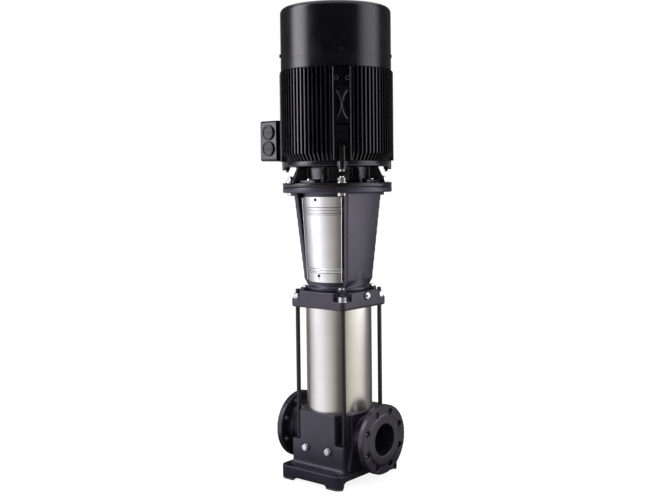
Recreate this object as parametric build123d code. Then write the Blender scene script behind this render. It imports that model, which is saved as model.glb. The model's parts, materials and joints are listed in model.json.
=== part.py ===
"""Vertical multistage in-line pump with a flange-mounted motor.

Millimetres, +Z up. The origin is the centre of the foot's bolt pattern, on the floor.
+X runs along the pipe line towards the outlet port. -Y is the side with the drain plugs.
"""
from build123d import *
import math
import os

os.makedirs("parts", exist_ok=True)

# Clearances
RUN = 0.05  # radial gap of a running fit
SLIP = 0.1  # radial gap of a standing fit
PASS = 0.6  # radial gap where a bolt or shaft passes through
SEAT = 0.3  # gap between a piece and what carries it, where they don't touch

# Foot plate
PLATE_X, PLATE_Y, PLATE_CORNER = 250.0, 314.0, 24.0
PLATE_TOP = 45.0  # height of the plate's top above the floor
DECK = 12.0  # thickness of the plate's deck
PLATE_WALL = 12.0
SIDE_ARCH, SIDE_ARCH_Y = 24.0, 276.0  # arch between the feet, seen from the ports
FRONT_ARCH, FRONT_ARCH_X = 11.0, 136.0  # arch between the feet, seen from the front
FOOT_HOLE_X, FOOT_HOLE_Y, FOOT_HOLE_R = 190.0, 266.0, 7.0
FOOT_PAD_R = 22.0

# Base body
BODY_X, BODY_Y, BODY_CORNER = 107.0, 115.0, 6.0  # half widths of the square part
ARM_X, ARM_HALF = 110.0, 73.0  # upper cross: reach towards the ports, half width
CHEEK_IN, CHEEK_OUT = 20.0, 3.0  # sloped cheeks under it: short of the body's edge, past the cross
POCKET_Z = 126.0  # floor of the corner pockets
BODY_TOP = 222.0
DRUM_R = 113.0  # round wall that shows in the corner pockets
FLARE = 7.0  # how far the body widens where it meets the plate
SUMP_Z, SUMP_R = 85.0, 60.0  # inlet chamber
CORE_HOLLOW_Z = 68.0  # top of the hollow under the body
GALLERY_R, GALLERY_OUT_R = 74.0, 100.0  # outlet gallery around the stages
GALLERY_Z, GALLERY_DEEP_Z, GALLERY_ARC = 196.0, 98.0, 120.0
STACK_Z = 212.0  # ledge that the stages stand on

# Ports
PORT_Z, PORT_R = 140.0, 50.0
PORT_FACE = 182.5  # half of the length over the port faces
NECK_START, NECK_R, NECK_FLARE = 40.0, 68.0, 8.0
FLANGE_R, FLANGE_T, FLANGE_FACE_R, FLANGE_FACE_T = 110.0, 24.0, 79.0, 3.0
PORT_PCD, PORT_BOLTS, PORT_HOLE_R = 180.0, 8, 9.0
OUTLET_HOLE_MORE = 0.25  # outlet flange: coarse M16 clearance, this much wider in radius
OUTLET_END = 78.0  # where the outlet bore meets the gallery

# Drain plugs
DRAIN_X, DRAIN_Z, DRAIN_R, DRAIN_FLATS = 46.0, 104.0, 10.0, 19.0
DRAIN_HEAD, DRAIN_SHANK, DRAIN_WASHER_R, DRAIN_WASHER_T = 9.0, 18.0, 13.0, 2.0
DRAIN_WAY_R = 4.0

# Outer sleeve and staybolts
SLEEVE_R, SLEEVE_WALL, SLEEVE_SHOW, SLEEVE_SEAT = 106.0, 2.8, 330.0, 8.0
SEAL_T = 2.5
STAY_AT, STAY_R, STAY_DEPTH, STAY_END = 93.9, 7.0, 24.0, 14.0
STAY_FLATS, STAY_NUT, STAY_WASHER_R, STAY_WASHER_T = 24.0, 13.0, 15.0, 3.0

# Pump head
HEAD_Z = BODY_TOP + SLEEVE_SHOW
HEAD_HALF, HEAD_CORNER, HEAD_H = 111.5, 17.0, 54.0
HEAD_TOP = HEAD_Z + HEAD_H
HEAD_CAVITY_H = 20.0
HEAD_POCKET_H, HEAD_POCKET_AT, HEAD_POCKET_R = 27.0, 70.0, 117.2
HEAD_CHAMFER = 4.0
VENT_Y, VENT_Z, VENT_R = 5.0, HEAD_TOP - 15.0, 7.0
VENT_RECESS_R, VENT_RECESS, VENT_FLATS, VENT_HEAD = 13.5, 3.0, 19.0, 8.0
VENT_SPINDLE_R, VENT_KNOB_R, VENT_KNOB = 3.5, 5.5, 5.0
VENT_WAY_X = 88.0
NOTCH_W, NOTCH_D = 10.0, 8.0

# Stages
STAGES, STAGE_H = 4, 80.0
SHAFT_R = 12.0
CHAMBER_R, CHAMBER_WALL, PLATE_GAUGE = 90.0, 3.0, 4.0
INLET_H, EYE_R = 16.0, 36.0
GUIDE_H, GUIDE_PLATE_R, GUIDE_IN_R, GUIDE_VANES = 24.0, 78.0, 42.0, 6
IMPELLER_R, IMPELLER_LIFT, IMPELLER_H, IMPELLER_VANES = 72.0, 10.0, 32.0, 6
SHROUD, HUB_R, HUB_STEP, NECK_RING_R = 2.5, 18.0, 4.0, 35.0
VANE_T, VANE_CENTRE, VANE_CURVE = 3.0, 36.0, 38.0
GUIDE_CENTRE, GUIDE_CURVE = 40.0, 45.0
SPACER_R = 17.0
STRAP_T, STRAP_W, STRAPS = 3.0, 16.0, 3
BUSH_R, BUSH_H = 16.0, 22.0
SHAFT_LOW = STACK_Z - 8.0

# Shaft seal
GLAND_R, GLAND_FLANGE_R, GLAND_FLANGE, GLAND_BORE = 28.0, 46.0, 10.0, 22.0
SEAL_SEAT_IN, SEAL_SEAT_H = 15.0, 8.0
SEAL_FACE_R = 20.0
GLAND_DEPTH = 26.0

# Motor frame, which the stool's flange follows
HOUSING_BORE = 150.0
BARREL_R = HOUSING_BORE + 6.0
SHIELD_RING_R = BARREL_R + 8.0
FIN_R = BARREL_R + 24.0

# Motor stool
STOOL_H = 330.0
STOOL_TOP = HEAD_TOP + STOOL_H
STOOL_FOOT_R, STOOL_FOOT, STOOL_FOOT_HOLE = 98.0, 14.0, 52.0
STOOL_BOLT_AT, STOOL_BOLT_R, STOOL_LUG, STOOL_LUG_R = 76.0, 5.0, 8.0, 15.0
STOOL_BOLT_FLATS, STOOL_BOLT_HEAD, STOOL_BOLT_IN = 17.0, 6.4, 18.0
STOOL_FLANGE_R, STOOL_FLANGE = SHIELD_RING_R + 11.0, 18.0
WALL_FOOT_Z, WALL_CUT_Z = HEAD_TOP + STOOL_FOOT, HEAD_TOP + 34.0
WALL_CUT_X, WALL_LOW_X, WALL_HIGH_X = 84.0, 94.0, 116.0  # outer faces
WALL_LOW_Y, WALL_HIGH_Y = 64.0, 86.0  # half widths
WALL_T, WALL_BULGE, WALL_EDGE = 20.0, 3.0, 4.0
LOW_RING_TOP, HIGH_RING_LOW, RING_T = HEAD_TOP + 58.0, STOOL_TOP - 56.0, 9.0
STOOL_BORE = 82.0

# Coupling guards
GUARD_LOW_Z, GUARD_HIGH_Z = HEAD_TOP + 29.0, STOOL_TOP - 31.0
GUARD_LOW_R, GUARD_HIGH_R, GUARD_T, GUARD_ARC = 95.0, 110.0, 1.0, 97.0
BEADS = (
    GUARD_LOW_Z + 32.0, GUARD_LOW_Z + 41.0,
    GUARD_HIGH_Z - 54.0, GUARD_HIGH_Z - 44.5, GUARD_HIGH_Z - 35.0,
)
BEAD_W, BEAD_H = 3.4, 1.6
LIP_W, LIP_SEAT = 7.0, 0.4
GUARD_SCREW_LOW, GUARD_SCREW_HIGH = GUARD_LOW_Z + 21.0, GUARD_HIGH_Z - 9.0
KEYHOLE_R, KEYHOLE_L, KEYHOLE_W = 3.6, 12.0, 2.4
GUARD_SCREW_R, GUARD_SCREW_HEAD_R, GUARD_SCREW_HEAD = 2.5, 4.5, 3.0

# Coupling
COUPLING_R, COUPLING_LOW, COUPLING_H, COUPLING_GAP = 45.0, HEAD_TOP + 106.0, 140.0, 1.0
COUPLING_BOLT_X, COUPLING_BOLT_R, COUPLING_BOLT_HEAD_R, COUPLING_BOLT_HEAD = 33.0, 4.0, 6.5, 8.0
COUPLING_BOLT_IN, COUPLING_BOLT_END, COUPLING_SEAT = 26.0, 26.0, 18.0

# Motor flange and drive-end shield
REGISTER_R, REGISTER_H = 125.0, 5.0
MOTOR_FLANGE = 13.0
FLANGE_BOLT_PCD, FLANGE_BOLT_R = 2 * (STOOL_FLANGE_R - 25.0), 8.0
FLANGE_BOLT_FLATS, FLANGE_BOLT_HEAD, FLANGE_NUT = 24.0, 10.0, 13.0
FLANGE_WASHER, FLANGE_WASHER_R = 3.0, 15.0
FLANGE_BOLT_END = 5.0
SHIELD_H, SHIELD_RING, SHIELD_HUB_R, SHIELD_HUB_IN = 81.0, 17.0, 108.0, 98.0
SHIELD_RIBS, RIB_T, RIB_LOW_R, RIB_HIGH_R = 8, 7.0, STOOL_FLANGE_R - 15.0, STOOL_FLANGE_R - 40.0
BOSS_IN_R, BOSS_OUT_R, BOSS_ARC, BOSS_H = SHIELD_HUB_R, STOOL_FLANGE_R - 25.0, 26.0, 9.0
BOSS_SCREW_AT, BOSS_SCREW_R, BOSS_SCREW_FLATS, BOSS_SCREW_HEAD = BOSS_OUT_R - 12.0, 3.0, 10.0, 4.0
LUG_AT, LUG_R, LUG_H = BARREL_R + 7.0, 13.0, 27.0
LUG_SCREW_R, LUG_SCREW_FLATS, LUG_SCREW_HEAD, LUG_SCREW_IN = 5.0, 16.0, 6.5, 45.0

# Motor
MOTOR_Z = STOOL_TOP
HOUSING_Z = MOTOR_Z + SHIELD_H
HOUSING_L = 286.0
HOUSING_TOP = HOUSING_Z + HOUSING_L
FIN_FOOT_R, FIN_CHAMFER, FIN_T, FIN_PITCH, FINS = SHIELD_RING_R, 23.0, 4.0, 4.5, 16
FIN_END = 3.0  # fins stop short of the barrel's top
STRIP_HALF, STRIP_R, STRIP_RIB_R, STRIP_RIB_T = 26.5, BARREL_R + 8.0, FIN_R - 2.0, 4.5
STRIP_LUG_H = 44.0
STRIP_PAD_Z, STRIP_PAD_H, STRIP_PAD_R, STRIP_PAD_HALF = 60.0, 47.0, FIN_R - 5.0, 22.0
SPOOL_Z, SPOOL_H, SPOOL_HALF, SPOOL_WAIST, SPOOL_CURVE = 124.0, 88.0, 20.0, 7.0, 60.0
EYE_Z, EYE_Y, EYE_BOSS_R, EYE_HOLE_R = 248.0, 18.0, 8.0, 4.0
STATOR_Z, STATOR_BORE = 68.0, 88.6  # above the housing's foot
STATOR_H = HOUSING_L - 126.0  # room for the windings' ends and both shields
WINDING_IN, WINDING_OUT, WINDING_H = 98.0, 140.0, 34.0
ROTOR_R, ROTOR_BORE, END_RING_H, END_RING_IN = 88.0, 30.0, 10.0, 58.0
MOTOR_SHAFT_R, MOTOR_SHAFT_IN = 24.0, 64.0
DE_BEARING_R, DE_BEARING_BORE, DE_BEARING_W = 55.0, 25.0, 27.0
NDE_BEARING_R, NDE_BEARING_BORE, NDE_BEARING_W = 50.0, 22.5, 25.0
NDE_PLATE, NDE_SPIGOT = 15.0, 7.0
DRIVE_SEAT, NDE_SEAT = HOUSING_Z - 38.0, HOUSING_TOP - 6.0  # shoulders that the bearings stand on
FAN_SHAFT_R, FAN_R, FAN_Z, FAN_H, FAN_BLADES, FAN_BLADE_T = 19.0, 136.0, 46.0, 46.0, 9, 3.0
FAN_DISC, FAN_HUB_R = 4.0, 32.0

# Fan cover
COVER_R, COVER_WALL, COVER_H, COVER_EDGE = FIN_R - 4.0, 2.0, 197.0, 16.0
COVER_BAND, COVER_GROOVE, COVER_GROOVE_D = 32.0, 3.0, 1.2
COVER_SCREW_Z, COVER_SCREW_R, COVER_SCREW_FLATS, COVER_SCREW_HEAD = 49.0, 3.0, 10.0, 4.0
GRILLE_ROWS, GRILLE_SLOTS = ((42.0, 80.0), (92.0, 138.0)), (16, 28)  # radii of each row, its slots
GRILLE_W = 8.0

# Terminal box
BOX_Y, BOX_LIFT, BOX_H, BOX_CORNER = 70.0, 86.0, 133.0, 8.0
BOX_LOW, BOX_HIGH = MOTOR_Z + BOX_LIFT, MOTOR_Z + BOX_LIFT + BOX_H
BOX_FACE, BOX_BACK, BOX_FOOT = FIN_R + 82.5, FIN_R + 21.0, FIN_R  # distances out from the shaft line
BOX_WALL, BOX_POST_R, LID_T, LID_WALL = 5.0, 6.5, 11.5, 4.0
NECK_Y, NECK_IN = 58.0, 8.0
CABLE_WAY_R = 24.0
PLUG_X, PLUG_PITCH, PLUG_R, PLUG_T, PLUG_SHANK_R = BOX_FACE - 28.0, 53.0, 25.0, 7.0, 20.0
LID_SCREW_IN, LID_SCREW_R, LID_SCREW_HEAD_R, LID_SCREW_HEAD = 11.0, 2.5, 4.5, 3.0
TERMINAL_Y, TERMINAL_H, TERMINAL_T, STUD_R, STUD_H = 74.0, 48.0, 14.0, 3.0, 14.0

QUARTERS = range(4)


def ring(outer, inner, low, high):
    """A round tube on the shaft line."""
    return extrude(Plane.XY.offset(low) * (Circle(outer) - Circle(inner)), high - low)


def rod(radius, length, at=(0, 0, 0), axis=(0, 0, 1)):
    """A round bar from a point along a direction."""
    return extrude(Plane(origin=at, z_dir=axis) * Circle(radius), length)


def hexagon(flats, length, at, axis=(0, 0, 1)):
    """A hexagon bar from a point along a direction."""
    outline = RegularPolygon(flats / 2, 6, major_radius=False)
    return extrude(Plane(origin=at, z_dir=axis) * outline, length)


def block(low, high):
    """A box between two corners."""
    size = [b - a for a, b in zip(low, high)]
    middle = [(a + b) / 2 for a, b in zip(low, high)]
    return Pos(*middle) * Box(*size)


def turned(*points):
    """A solid of revolution about the shaft line, from (radius, height) points."""
    return revolve(Plane.XZ * Polygon(*points, align=None), Axis.Z)


def slab(half_y, low, high, corner, near, far):
    """A round-cornered plate square to X, between two places along X."""
    plane = Plane(origin=(near, 0, (low + high) / 2), x_dir=(0, 1, 0), z_dir=(1, 0, 0))
    return extrude(plane * RectangleRounded(2 * half_y, high - low, corner), far - near)


def radial_plate(thickness, *points):
    """A flat plate in the plane of the shaft line, from (radius, height) points."""
    return extrude(Plane.XZ.offset(-thickness / 2) * Polygon(*points, align=None), thickness)


def around(piece, count=4, start=45.0):
    """Copies of a piece turned about the shaft line."""
    return [Rot(0, 0, start + 360 / count * i) * piece for i in range(count)]


def corners(x, y):
    """The four places at plus and minus x and y."""
    return [(sx * x, sy * y) for sx in (-1, 1) for sy in (-1, 1)]


def save(name, *pieces):
    """Writes one node: every solid of the pieces given."""
    solids = [solid for piece in pieces for solid in piece.solids()]
    export_step(Compound(children=solids), f"parts/{name}.step")


def swept_vane(centre, curve, inner, outer, low, high):
    """One backward-swept vane of even thickness between two radii."""
    band = Pos(centre, 0) * (Circle(curve) - Circle(curve - VANE_T))
    half = Pos(0, outer) * Rectangle(4 * outer, 2 * outer)
    outline = band & (Circle(outer) - Circle(inner)) & half
    return extrude(Plane.XY.offset(low) * outline, high - low)


# ------------------------------------------------------------------ base


def foot_plate():
    outline = RectangleRounded(PLATE_X, PLATE_Y, PLATE_CORNER)
    plate = extrude(outline, PLATE_TOP)
    wall = 2 * PLATE_WALL
    inside = RectangleRounded(PLATE_X - wall, PLATE_Y - wall, PLATE_CORNER - PLATE_WALL)
    plate -= extrude(inside, PLATE_TOP - DECK)
    side = Plane.YZ * RectangleRounded(SIDE_ARCH_Y, 2 * SIDE_ARCH, SIDE_ARCH - 4)
    plate -= extrude(side, PLATE_X, both=True)
    front = Plane.XZ * RectangleRounded(FRONT_ARCH_X, 2 * FRONT_ARCH, FRONT_ARCH - 2)
    plate -= extrude(front, PLATE_Y, both=True)
    for x, y in corners(FOOT_HOLE_X / 2, FOOT_HOLE_Y / 2):
        pad = rod(FOOT_PAD_R, PLATE_TOP, (x, y, 0))
        plate += pad & extrude(outline, PLATE_TOP)
    return plate


def base_body():
    floor = Plane.XY.offset(PLATE_TOP)
    square = extrude(floor * RectangleRounded(2 * BODY_X, 2 * BODY_Y, BODY_CORNER), POCKET_Z - PLATE_TOP)
    flare = RectangleRounded(2 * (BODY_X + FLARE), 2 * (BODY_Y + FLARE), BODY_CORNER + FLARE)
    square += extrude(floor * flare, FLARE, taper=45)
    rise = BODY_TOP - POCKET_Z
    along_y = Plane.XY.offset(POCKET_Z) * Rectangle(2 * ARM_HALF, 2 * BODY_Y)
    along_x = Plane.XY.offset(POCKET_Z) * Rectangle(2 * ARM_X, 2 * ARM_HALF)
    upper = extrude(along_y, rise) + extrude(along_x, rise) + rod(DRUM_R, rise, (0, 0, POCKET_Z))
    foot = BODY_Y - CHEEK_IN
    side = Polygon(
        (-ARM_HALF, POCKET_Z), (ARM_HALF, POCKET_Z), (foot, PLATE_TOP), (-foot, PLATE_TOP), align=None
    )
    cheek = extrude(Plane.YZ * side, ARM_X + CHEEK_OUT, both=True)
    return square + upper + cheek


def port(side):
    """Neck and flange of one port, on the side -1 or 1."""
    back = PORT_FACE - FLANGE_T
    edge = 2.0
    step = PORT_FACE - FLANGE_FACE_T
    profile = [
        (NECK_START, 0), (NECK_START, NECK_R), (back - NECK_FLARE, NECK_R), (back, NECK_R + NECK_FLARE),
        (back, FLANGE_R - edge), (back + edge, FLANGE_R), (step, FLANGE_R), (step, FLANGE_FACE_R),
        (PORT_FACE, FLANGE_FACE_R), (PORT_FACE, 0),
    ]
    outline = Polygon(*[(side * x, PORT_Z + r) for x, r in profile], align=None)
    return revolve(Plane.XZ * outline, Axis((0, 0, PORT_Z), (1, 0, 0)))


def port_holes(side):
    back = PORT_FACE - FLANGE_T
    radius = PORT_HOLE_R + (OUTLET_HOLE_MORE if side > 0 else 0)
    holes = []
    for i in range(PORT_BOLTS):
        turn = math.radians(360 / PORT_BOLTS * (i + 0.5))
        at = (side * (back - 2), PORT_PCD / 2 * math.cos(turn), PORT_Z + PORT_PCD / 2 * math.sin(turn))
        holes.append(rod(radius, FLANGE_T + 4, at, (side, 0, 0)))
    return holes


def base_casting():
    body = foot_plate() + base_body()
    for side in (-1, 1):
        body += port(side)
    hollow = Plane.XY * RectangleRounded(2 * (BODY_X - 17), 2 * (BODY_Y - 20), 12)
    body -= extrude(hollow, CORE_HOLLOW_Z)
    for x, y in corners(FOOT_HOLE_X / 2, FOOT_HOLE_Y / 2):
        body -= rod(FOOT_HOLE_R, PLATE_TOP + 2, (x, y, -1))
    for side in (-1, 1):
        body -= port_holes(side)
    # Inlet: bore into the sump under the stages. Outlet: gallery around the stages into the other bore.
    body -= rod(PORT_R, PORT_FACE + 1, (-PORT_FACE - 1, 0, PORT_Z), (1, 0, 0))
    body -= rod(SUMP_R, BODY_TOP, (0, 0, SUMP_Z))
    body -= rod(PORT_R, PORT_FACE - OUTLET_END + 1, (OUTLET_END, 0, PORT_Z), (1, 0, 0))
    body -= ring(GALLERY_OUT_R, GALLERY_R, GALLERY_Z, BODY_TOP + 1)
    body -= rod(GALLERY_OUT_R + 1, BODY_TOP, (0, 0, STACK_Z))
    deep = revolve(
        Plane.XZ * Polygon((GALLERY_R, GALLERY_DEEP_Z), (GALLERY_OUT_R, GALLERY_DEEP_Z),
                           (GALLERY_OUT_R, BODY_TOP), (GALLERY_R, BODY_TOP), align=None),
        Axis.Z, GALLERY_ARC)
    body -= Rot(0, 0, -GALLERY_ARC / 2) * deep
    body -= rod(SLEEVE_R + SEAT, SLEEVE_SEAT + 1, (0, 0, BODY_TOP - SLEEVE_SEAT))
    for x in (-DRAIN_X, DRAIN_X):
        body -= rod(DRAIN_R, DRAIN_SHANK + 1, (x, -BODY_Y, DRAIN_Z), (0, 1, 0))
        body -= rod(DRAIN_WAY_R, BODY_Y - 36, (x, -BODY_Y, DRAIN_Z), (0, 1, 0))
    for x, y in corners(STAY_AT, STAY_AT):
        body -= rod(STAY_R + SLIP, STAY_DEPTH + 1, (x, y, POCKET_Z - STAY_DEPTH))
    return body


def drain_pieces():
    plugs, washers = [], []
    for x in (-DRAIN_X, DRAIN_X):
        face = -BODY_Y
        ring_face = face - DRAIN_WASHER_T
        plug = hexagon(DRAIN_FLATS, DRAIN_HEAD, (x, ring_face, DRAIN_Z), (0, -1, 0))
        plug += rod(DRAIN_R - SLIP, DRAIN_SHANK + DRAIN_WASHER_T, (x, ring_face, DRAIN_Z), (0, 1, 0))
        washer = rod(DRAIN_WASHER_R, DRAIN_WASHER_T, (x, face, DRAIN_Z), (0, -1, 0))
        washers.append(washer - rod(DRAIN_R, DRAIN_WASHER_T, (x, face, DRAIN_Z), (0, -1, 0)))
        plugs.append(plug)
    return plugs, washers


# ------------------------------------------------------------------ sleeve, staybolts, head


def sleeve_seals():
    low = BODY_TOP - SLEEVE_SEAT
    high = HEAD_Z + SLEEVE_SEAT
    inner = SLEEVE_R - SLEEVE_WALL
    return ring(SLEEVE_R, inner, low, low + SEAL_T), ring(SLEEVE_R, inner, high - SEAL_T, high)


def outer_sleeve():
    low = BODY_TOP - SLEEVE_SEAT + SEAL_T
    return ring(SLEEVE_R, SLEEVE_R - SLEEVE_WALL, low, HEAD_Z + SLEEVE_SEAT - SEAL_T)


def stay_pieces():
    shelf = HEAD_Z + HEAD_POCKET_H
    nut_low = shelf + STAY_WASHER_T
    bolts, nuts, washers = [], [], []
    for x, y in corners(STAY_AT, STAY_AT):
        low = POCKET_Z - STAY_DEPTH
        bolts.append(rod(STAY_R, nut_low + STAY_NUT + STAY_END - low, (x, y, low)))
        nut = hexagon(STAY_FLATS, STAY_NUT, (x, y, nut_low))
        nuts.append(nut - rod(STAY_R + SLIP, STAY_NUT, (x, y, nut_low)))
        washer = rod(STAY_WASHER_R, STAY_WASHER_T, (x, y, shelf))
        washers.append(washer - rod(STAY_R + SEAT, STAY_WASHER_T, (x, y, shelf)))
    return bolts, nuts, washers


def head_pocket():
    """Corner pocket in the head's top, with a round back wall."""
    middle = HEAD_POCKET_AT + HEAD_HALF
    corner = Pos(middle, middle) * Rectangle(2 * HEAD_HALF, 2 * HEAD_HALF)
    return extrude(Plane.XY.offset(HEAD_Z + HEAD_POCKET_H) * (corner - Circle(HEAD_POCKET_R)), HEAD_H)


def pump_head():
    outline = RectangleRounded(2 * HEAD_HALF, 2 * HEAD_HALF, HEAD_CORNER)
    head = extrude(Plane.XY.offset(HEAD_Z) * outline, HEAD_H)
    head = chamfer(head.faces().sort_by(Axis.Z)[0].edges(), HEAD_CHAMFER)
    head -= around(head_pocket(), start=0.0)
    head -= rod(SLEEVE_R + SEAT, SLEEVE_SEAT + 1, (0, 0, HEAD_Z - 1))
    head -= rod(SLEEVE_R - SLEEVE_WALL, HEAD_CAVITY_H + 1, (0, 0, HEAD_Z - 1))
    head -= rod(GLAND_R + SLIP, HEAD_H, (0, 0, HEAD_Z))
    for x, y in corners(STAY_AT, STAY_AT):
        head -= rod(STAY_R + PASS, HEAD_H, (x, y, HEAD_Z - 1))
    for x, y in corners(STOOL_BOLT_AT, STOOL_BOLT_AT):
        head -= rod(STOOL_BOLT_R + SLIP, STOOL_BOLT_IN + 1, (x, y, HEAD_TOP - STOOL_BOLT_IN))
    at = (HEAD_HALF - VENT_RECESS, VENT_Y, VENT_Z)
    head -= rod(VENT_RECESS_R, VENT_RECESS + 1, at, (1, 0, 0))
    head -= rod(VENT_R, HEAD_HALF - VENT_WAY_X, (HEAD_HALF, VENT_Y, VENT_Z), (-1, 0, 0))
    head -= rod(3, VENT_Z - HEAD_Z, (VENT_WAY_X + 4, VENT_Y, HEAD_Z + HEAD_CAVITY_H - 1))
    mouth = HEAD_TOP + 1
    notch = Polygon((-NOTCH_W / 2, mouth), (NOTCH_W / 2, mouth), (0, HEAD_TOP - NOTCH_D), align=None)
    head -= Pos(0, -HEAD_HALF - 1, 0) * extrude(Plane.XZ * notch, -(HEAD_HALF - STOOL_FOOT_R + 1))
    return head


def vent_pieces():
    face = HEAD_HALF - VENT_RECESS
    plug = hexagon(VENT_FLATS, VENT_HEAD, (face, VENT_Y, VENT_Z), (1, 0, 0))
    length = face - VENT_WAY_X - 10
    plug += rod(VENT_R - SLIP, length, (face, VENT_Y, VENT_Z), (-1, 0, 0))
    plug -= rod(VENT_SPINDLE_R + RUN, 60, (face - 30, VENT_Y, VENT_Z), (1, 0, 0))
    tip = face - length + 1
    out = face + VENT_HEAD + SEAT
    spindle = rod(VENT_SPINDLE_R, out - tip, (tip, VENT_Y, VENT_Z), (1, 0, 0))
    spindle += hexagon(2 * VENT_KNOB_R, VENT_KNOB, (out, VENT_Y, VENT_Z), (1, 0, 0))
    return plug, spindle


# ------------------------------------------------------------------ stages


def stage_floor(number):
    return STACK_Z + INLET_H + STAGE_H * number


def inlet_part():
    plate = ring(CHAMBER_R, EYE_R, STACK_Z, STACK_Z + INLET_H)
    plate -= ring(CHAMBER_R + 1, GALLERY_R - 1, STACK_Z - 1, STACK_Z + INLET_H - PLATE_GAUGE)
    plate += ring(BUSH_R + 6, BUSH_R + SLIP, STACK_Z - 4, STACK_Z + 12)
    near, far = BUSH_R + 3, EYE_R + 2
    spoke = radial_plate(5, (near, STACK_Z), (far, STACK_Z), (far, STACK_Z + 8), (near, STACK_Z + 8))
    return plate + around(spoke, 3, 0.0)


def bottom_bearing():
    return ring(BUSH_R, SHAFT_R + RUN, STACK_Z - 6, STACK_Z - 6 + BUSH_H)


def chamber(number):
    """One stage's cup: wall, divider at its top with the guide vanes hung under it."""
    floor = stage_floor(number)
    top = floor + STAGE_H
    cup = ring(CHAMBER_R, CHAMBER_R - CHAMBER_WALL, floor, top)
    cup += ring(CHAMBER_R - CHAMBER_WALL + 0.5, EYE_R, top - PLATE_GAUGE, top)
    guide_top = top - PLATE_GAUGE
    guide_low = guide_top - GUIDE_H
    cup += ring(GUIDE_PLATE_R, HUB_R + 2, guide_low - SHROUD, guide_low)
    rim = CHAMBER_R - CHAMBER_WALL + 0.5
    vane = swept_vane(GUIDE_CENTRE, GUIDE_CURVE, GUIDE_IN_R, rim, guide_low - 0.5, guide_top + 0.5)
    return cup + around(vane, GUIDE_VANES, 0.0)


def impeller(number):
    """Lower shroud with its neck ring, upper shroud with its hub, and the swept vanes between them."""
    low = stage_floor(number) + IMPELLER_LIFT
    high = low + IMPELLER_H
    neck_low = stage_floor(number) - PLATE_GAUGE + 1
    neck_in = NECK_RING_R - SHROUD
    bore = SHAFT_R + RUN
    wheel = turned((neck_in, neck_low), (NECK_RING_R, neck_low), (NECK_RING_R, low), (IMPELLER_R, low),
                   (IMPELLER_R, low + SHROUD), (neck_in, low + SHROUD))
    wheel += turned((bore, low), (HUB_R, low), (HUB_R, high - SHROUD), (IMPELLER_R, high - SHROUD),
                    (IMPELLER_R, high), (HUB_R, high), (HUB_R, high + HUB_STEP), (bore, high + HUB_STEP))
    inlet, rim = NECK_RING_R - 1, IMPELLER_R - 0.5
    vane = swept_vane(VANE_CENTRE, VANE_CURVE, inlet, rim, low + SHROUD / 2, high - SHROUD / 2)
    return wheel + around(vane, IMPELLER_VANES, 0.0)


def spacers():
    """Rings on the shaft between the impellers, and up to the seal."""
    rings = []
    for number in range(STAGES):
        low = stage_floor(number) + IMPELLER_LIFT + IMPELLER_H + HUB_STEP
        last = number == STAGES - 1
        high = HEAD_TOP - GLAND_DEPTH + 2 if last else stage_floor(number + 1) + IMPELLER_LIFT
        rings.append(ring(SPACER_R, SHAFT_R + RUN, low, high))
    return rings


def stack_nut():
    low = STACK_Z - 6 + BUSH_H + 1
    high = stage_floor(0) + IMPELLER_LIFT
    return hexagon(30, high - low, (0, 0, low)) - rod(SHAFT_R + RUN, high - low, (0, 0, low))


def top_chamber():
    """Spacer between the last stage and the head, open at its sides."""
    floor = stage_floor(STAGES)
    roof = HEAD_Z + HEAD_CAVITY_H
    plate = ring(CHAMBER_R, CHAMBER_R - 14, floor, floor + PLATE_GAUGE)
    post = block((CHAMBER_R - 12, -8, floor + 1), (CHAMBER_R - 3, 8, roof))
    return plate + around(post, 6, 0.0)


def straps():
    low = STACK_Z + INLET_H - PLATE_GAUGE
    high = HEAD_Z + HEAD_CAVITY_H
    near = CHAMBER_R + SEAT
    return around(block((near, -STRAP_W / 2, low), (near + STRAP_T, STRAP_W / 2, high)), STRAPS, 90.0)


def pump_shaft():
    return rod(SHAFT_R, COUPLING_LOW + COUPLING_H - MOTOR_SHAFT_IN - 6 - SHAFT_LOW, (0, 0, SHAFT_LOW))


# ------------------------------------------------------------------ shaft seal


def seal_gland():
    low = HEAD_TOP - GLAND_DEPTH
    top = HEAD_TOP + GLAND_FLANGE
    hole = SHAFT_R + PASS
    return turned((GLAND_BORE, low), (GLAND_R, low), (GLAND_R, HEAD_TOP), (GLAND_FLANGE_R, HEAD_TOP),
                  (GLAND_FLANGE_R, top), (hole, top), (hole, HEAD_TOP), (GLAND_BORE, HEAD_TOP))


def seal_seat():
    return ring(GLAND_BORE - SLIP, SEAL_SEAT_IN, HEAD_TOP - SEAL_SEAT_H, HEAD_TOP)


def seal_rotor():
    low = HEAD_TOP - GLAND_DEPTH + 2
    return ring(SEAL_FACE_R, SHAFT_R + RUN, low, HEAD_TOP - SEAL_SEAT_H - RUN)


# ------------------------------------------------------------------ stool, guards, coupling


def wall_section(height, inner, outer, half):
    """Section of a side wall: flat inside, a shallow curve outside."""
    edge = outer - WALL_EDGE
    lines = Polyline((edge, half), (inner, half), (inner, -half), (edge, -half))
    bow = ThreePointArc((edge, -half), (outer + WALL_BULGE - WALL_EDGE, 0), (edge, half))
    return Plane.XY.offset(height) * make_face(lines + bow)


def stool_wall():
    top = STOOL_TOP - STOOL_FLANGE + 2
    wall = loft([wall_section(WALL_CUT_Z, WALL_LOW_X - WALL_T, WALL_LOW_X, WALL_LOW_Y),
                 wall_section(top, WALL_HIGH_X - WALL_T, WALL_HIGH_X, WALL_HIGH_Y)])
    foot_y = WALL_LOW_Y - 4
    foot = loft([wall_section(WALL_FOOT_Z, WALL_LOW_X - WALL_T - 1, WALL_CUT_X, foot_y),
                 wall_section(WALL_CUT_Z, WALL_LOW_X - WALL_T, WALL_LOW_X, WALL_LOW_Y)])
    return wall + foot


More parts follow.
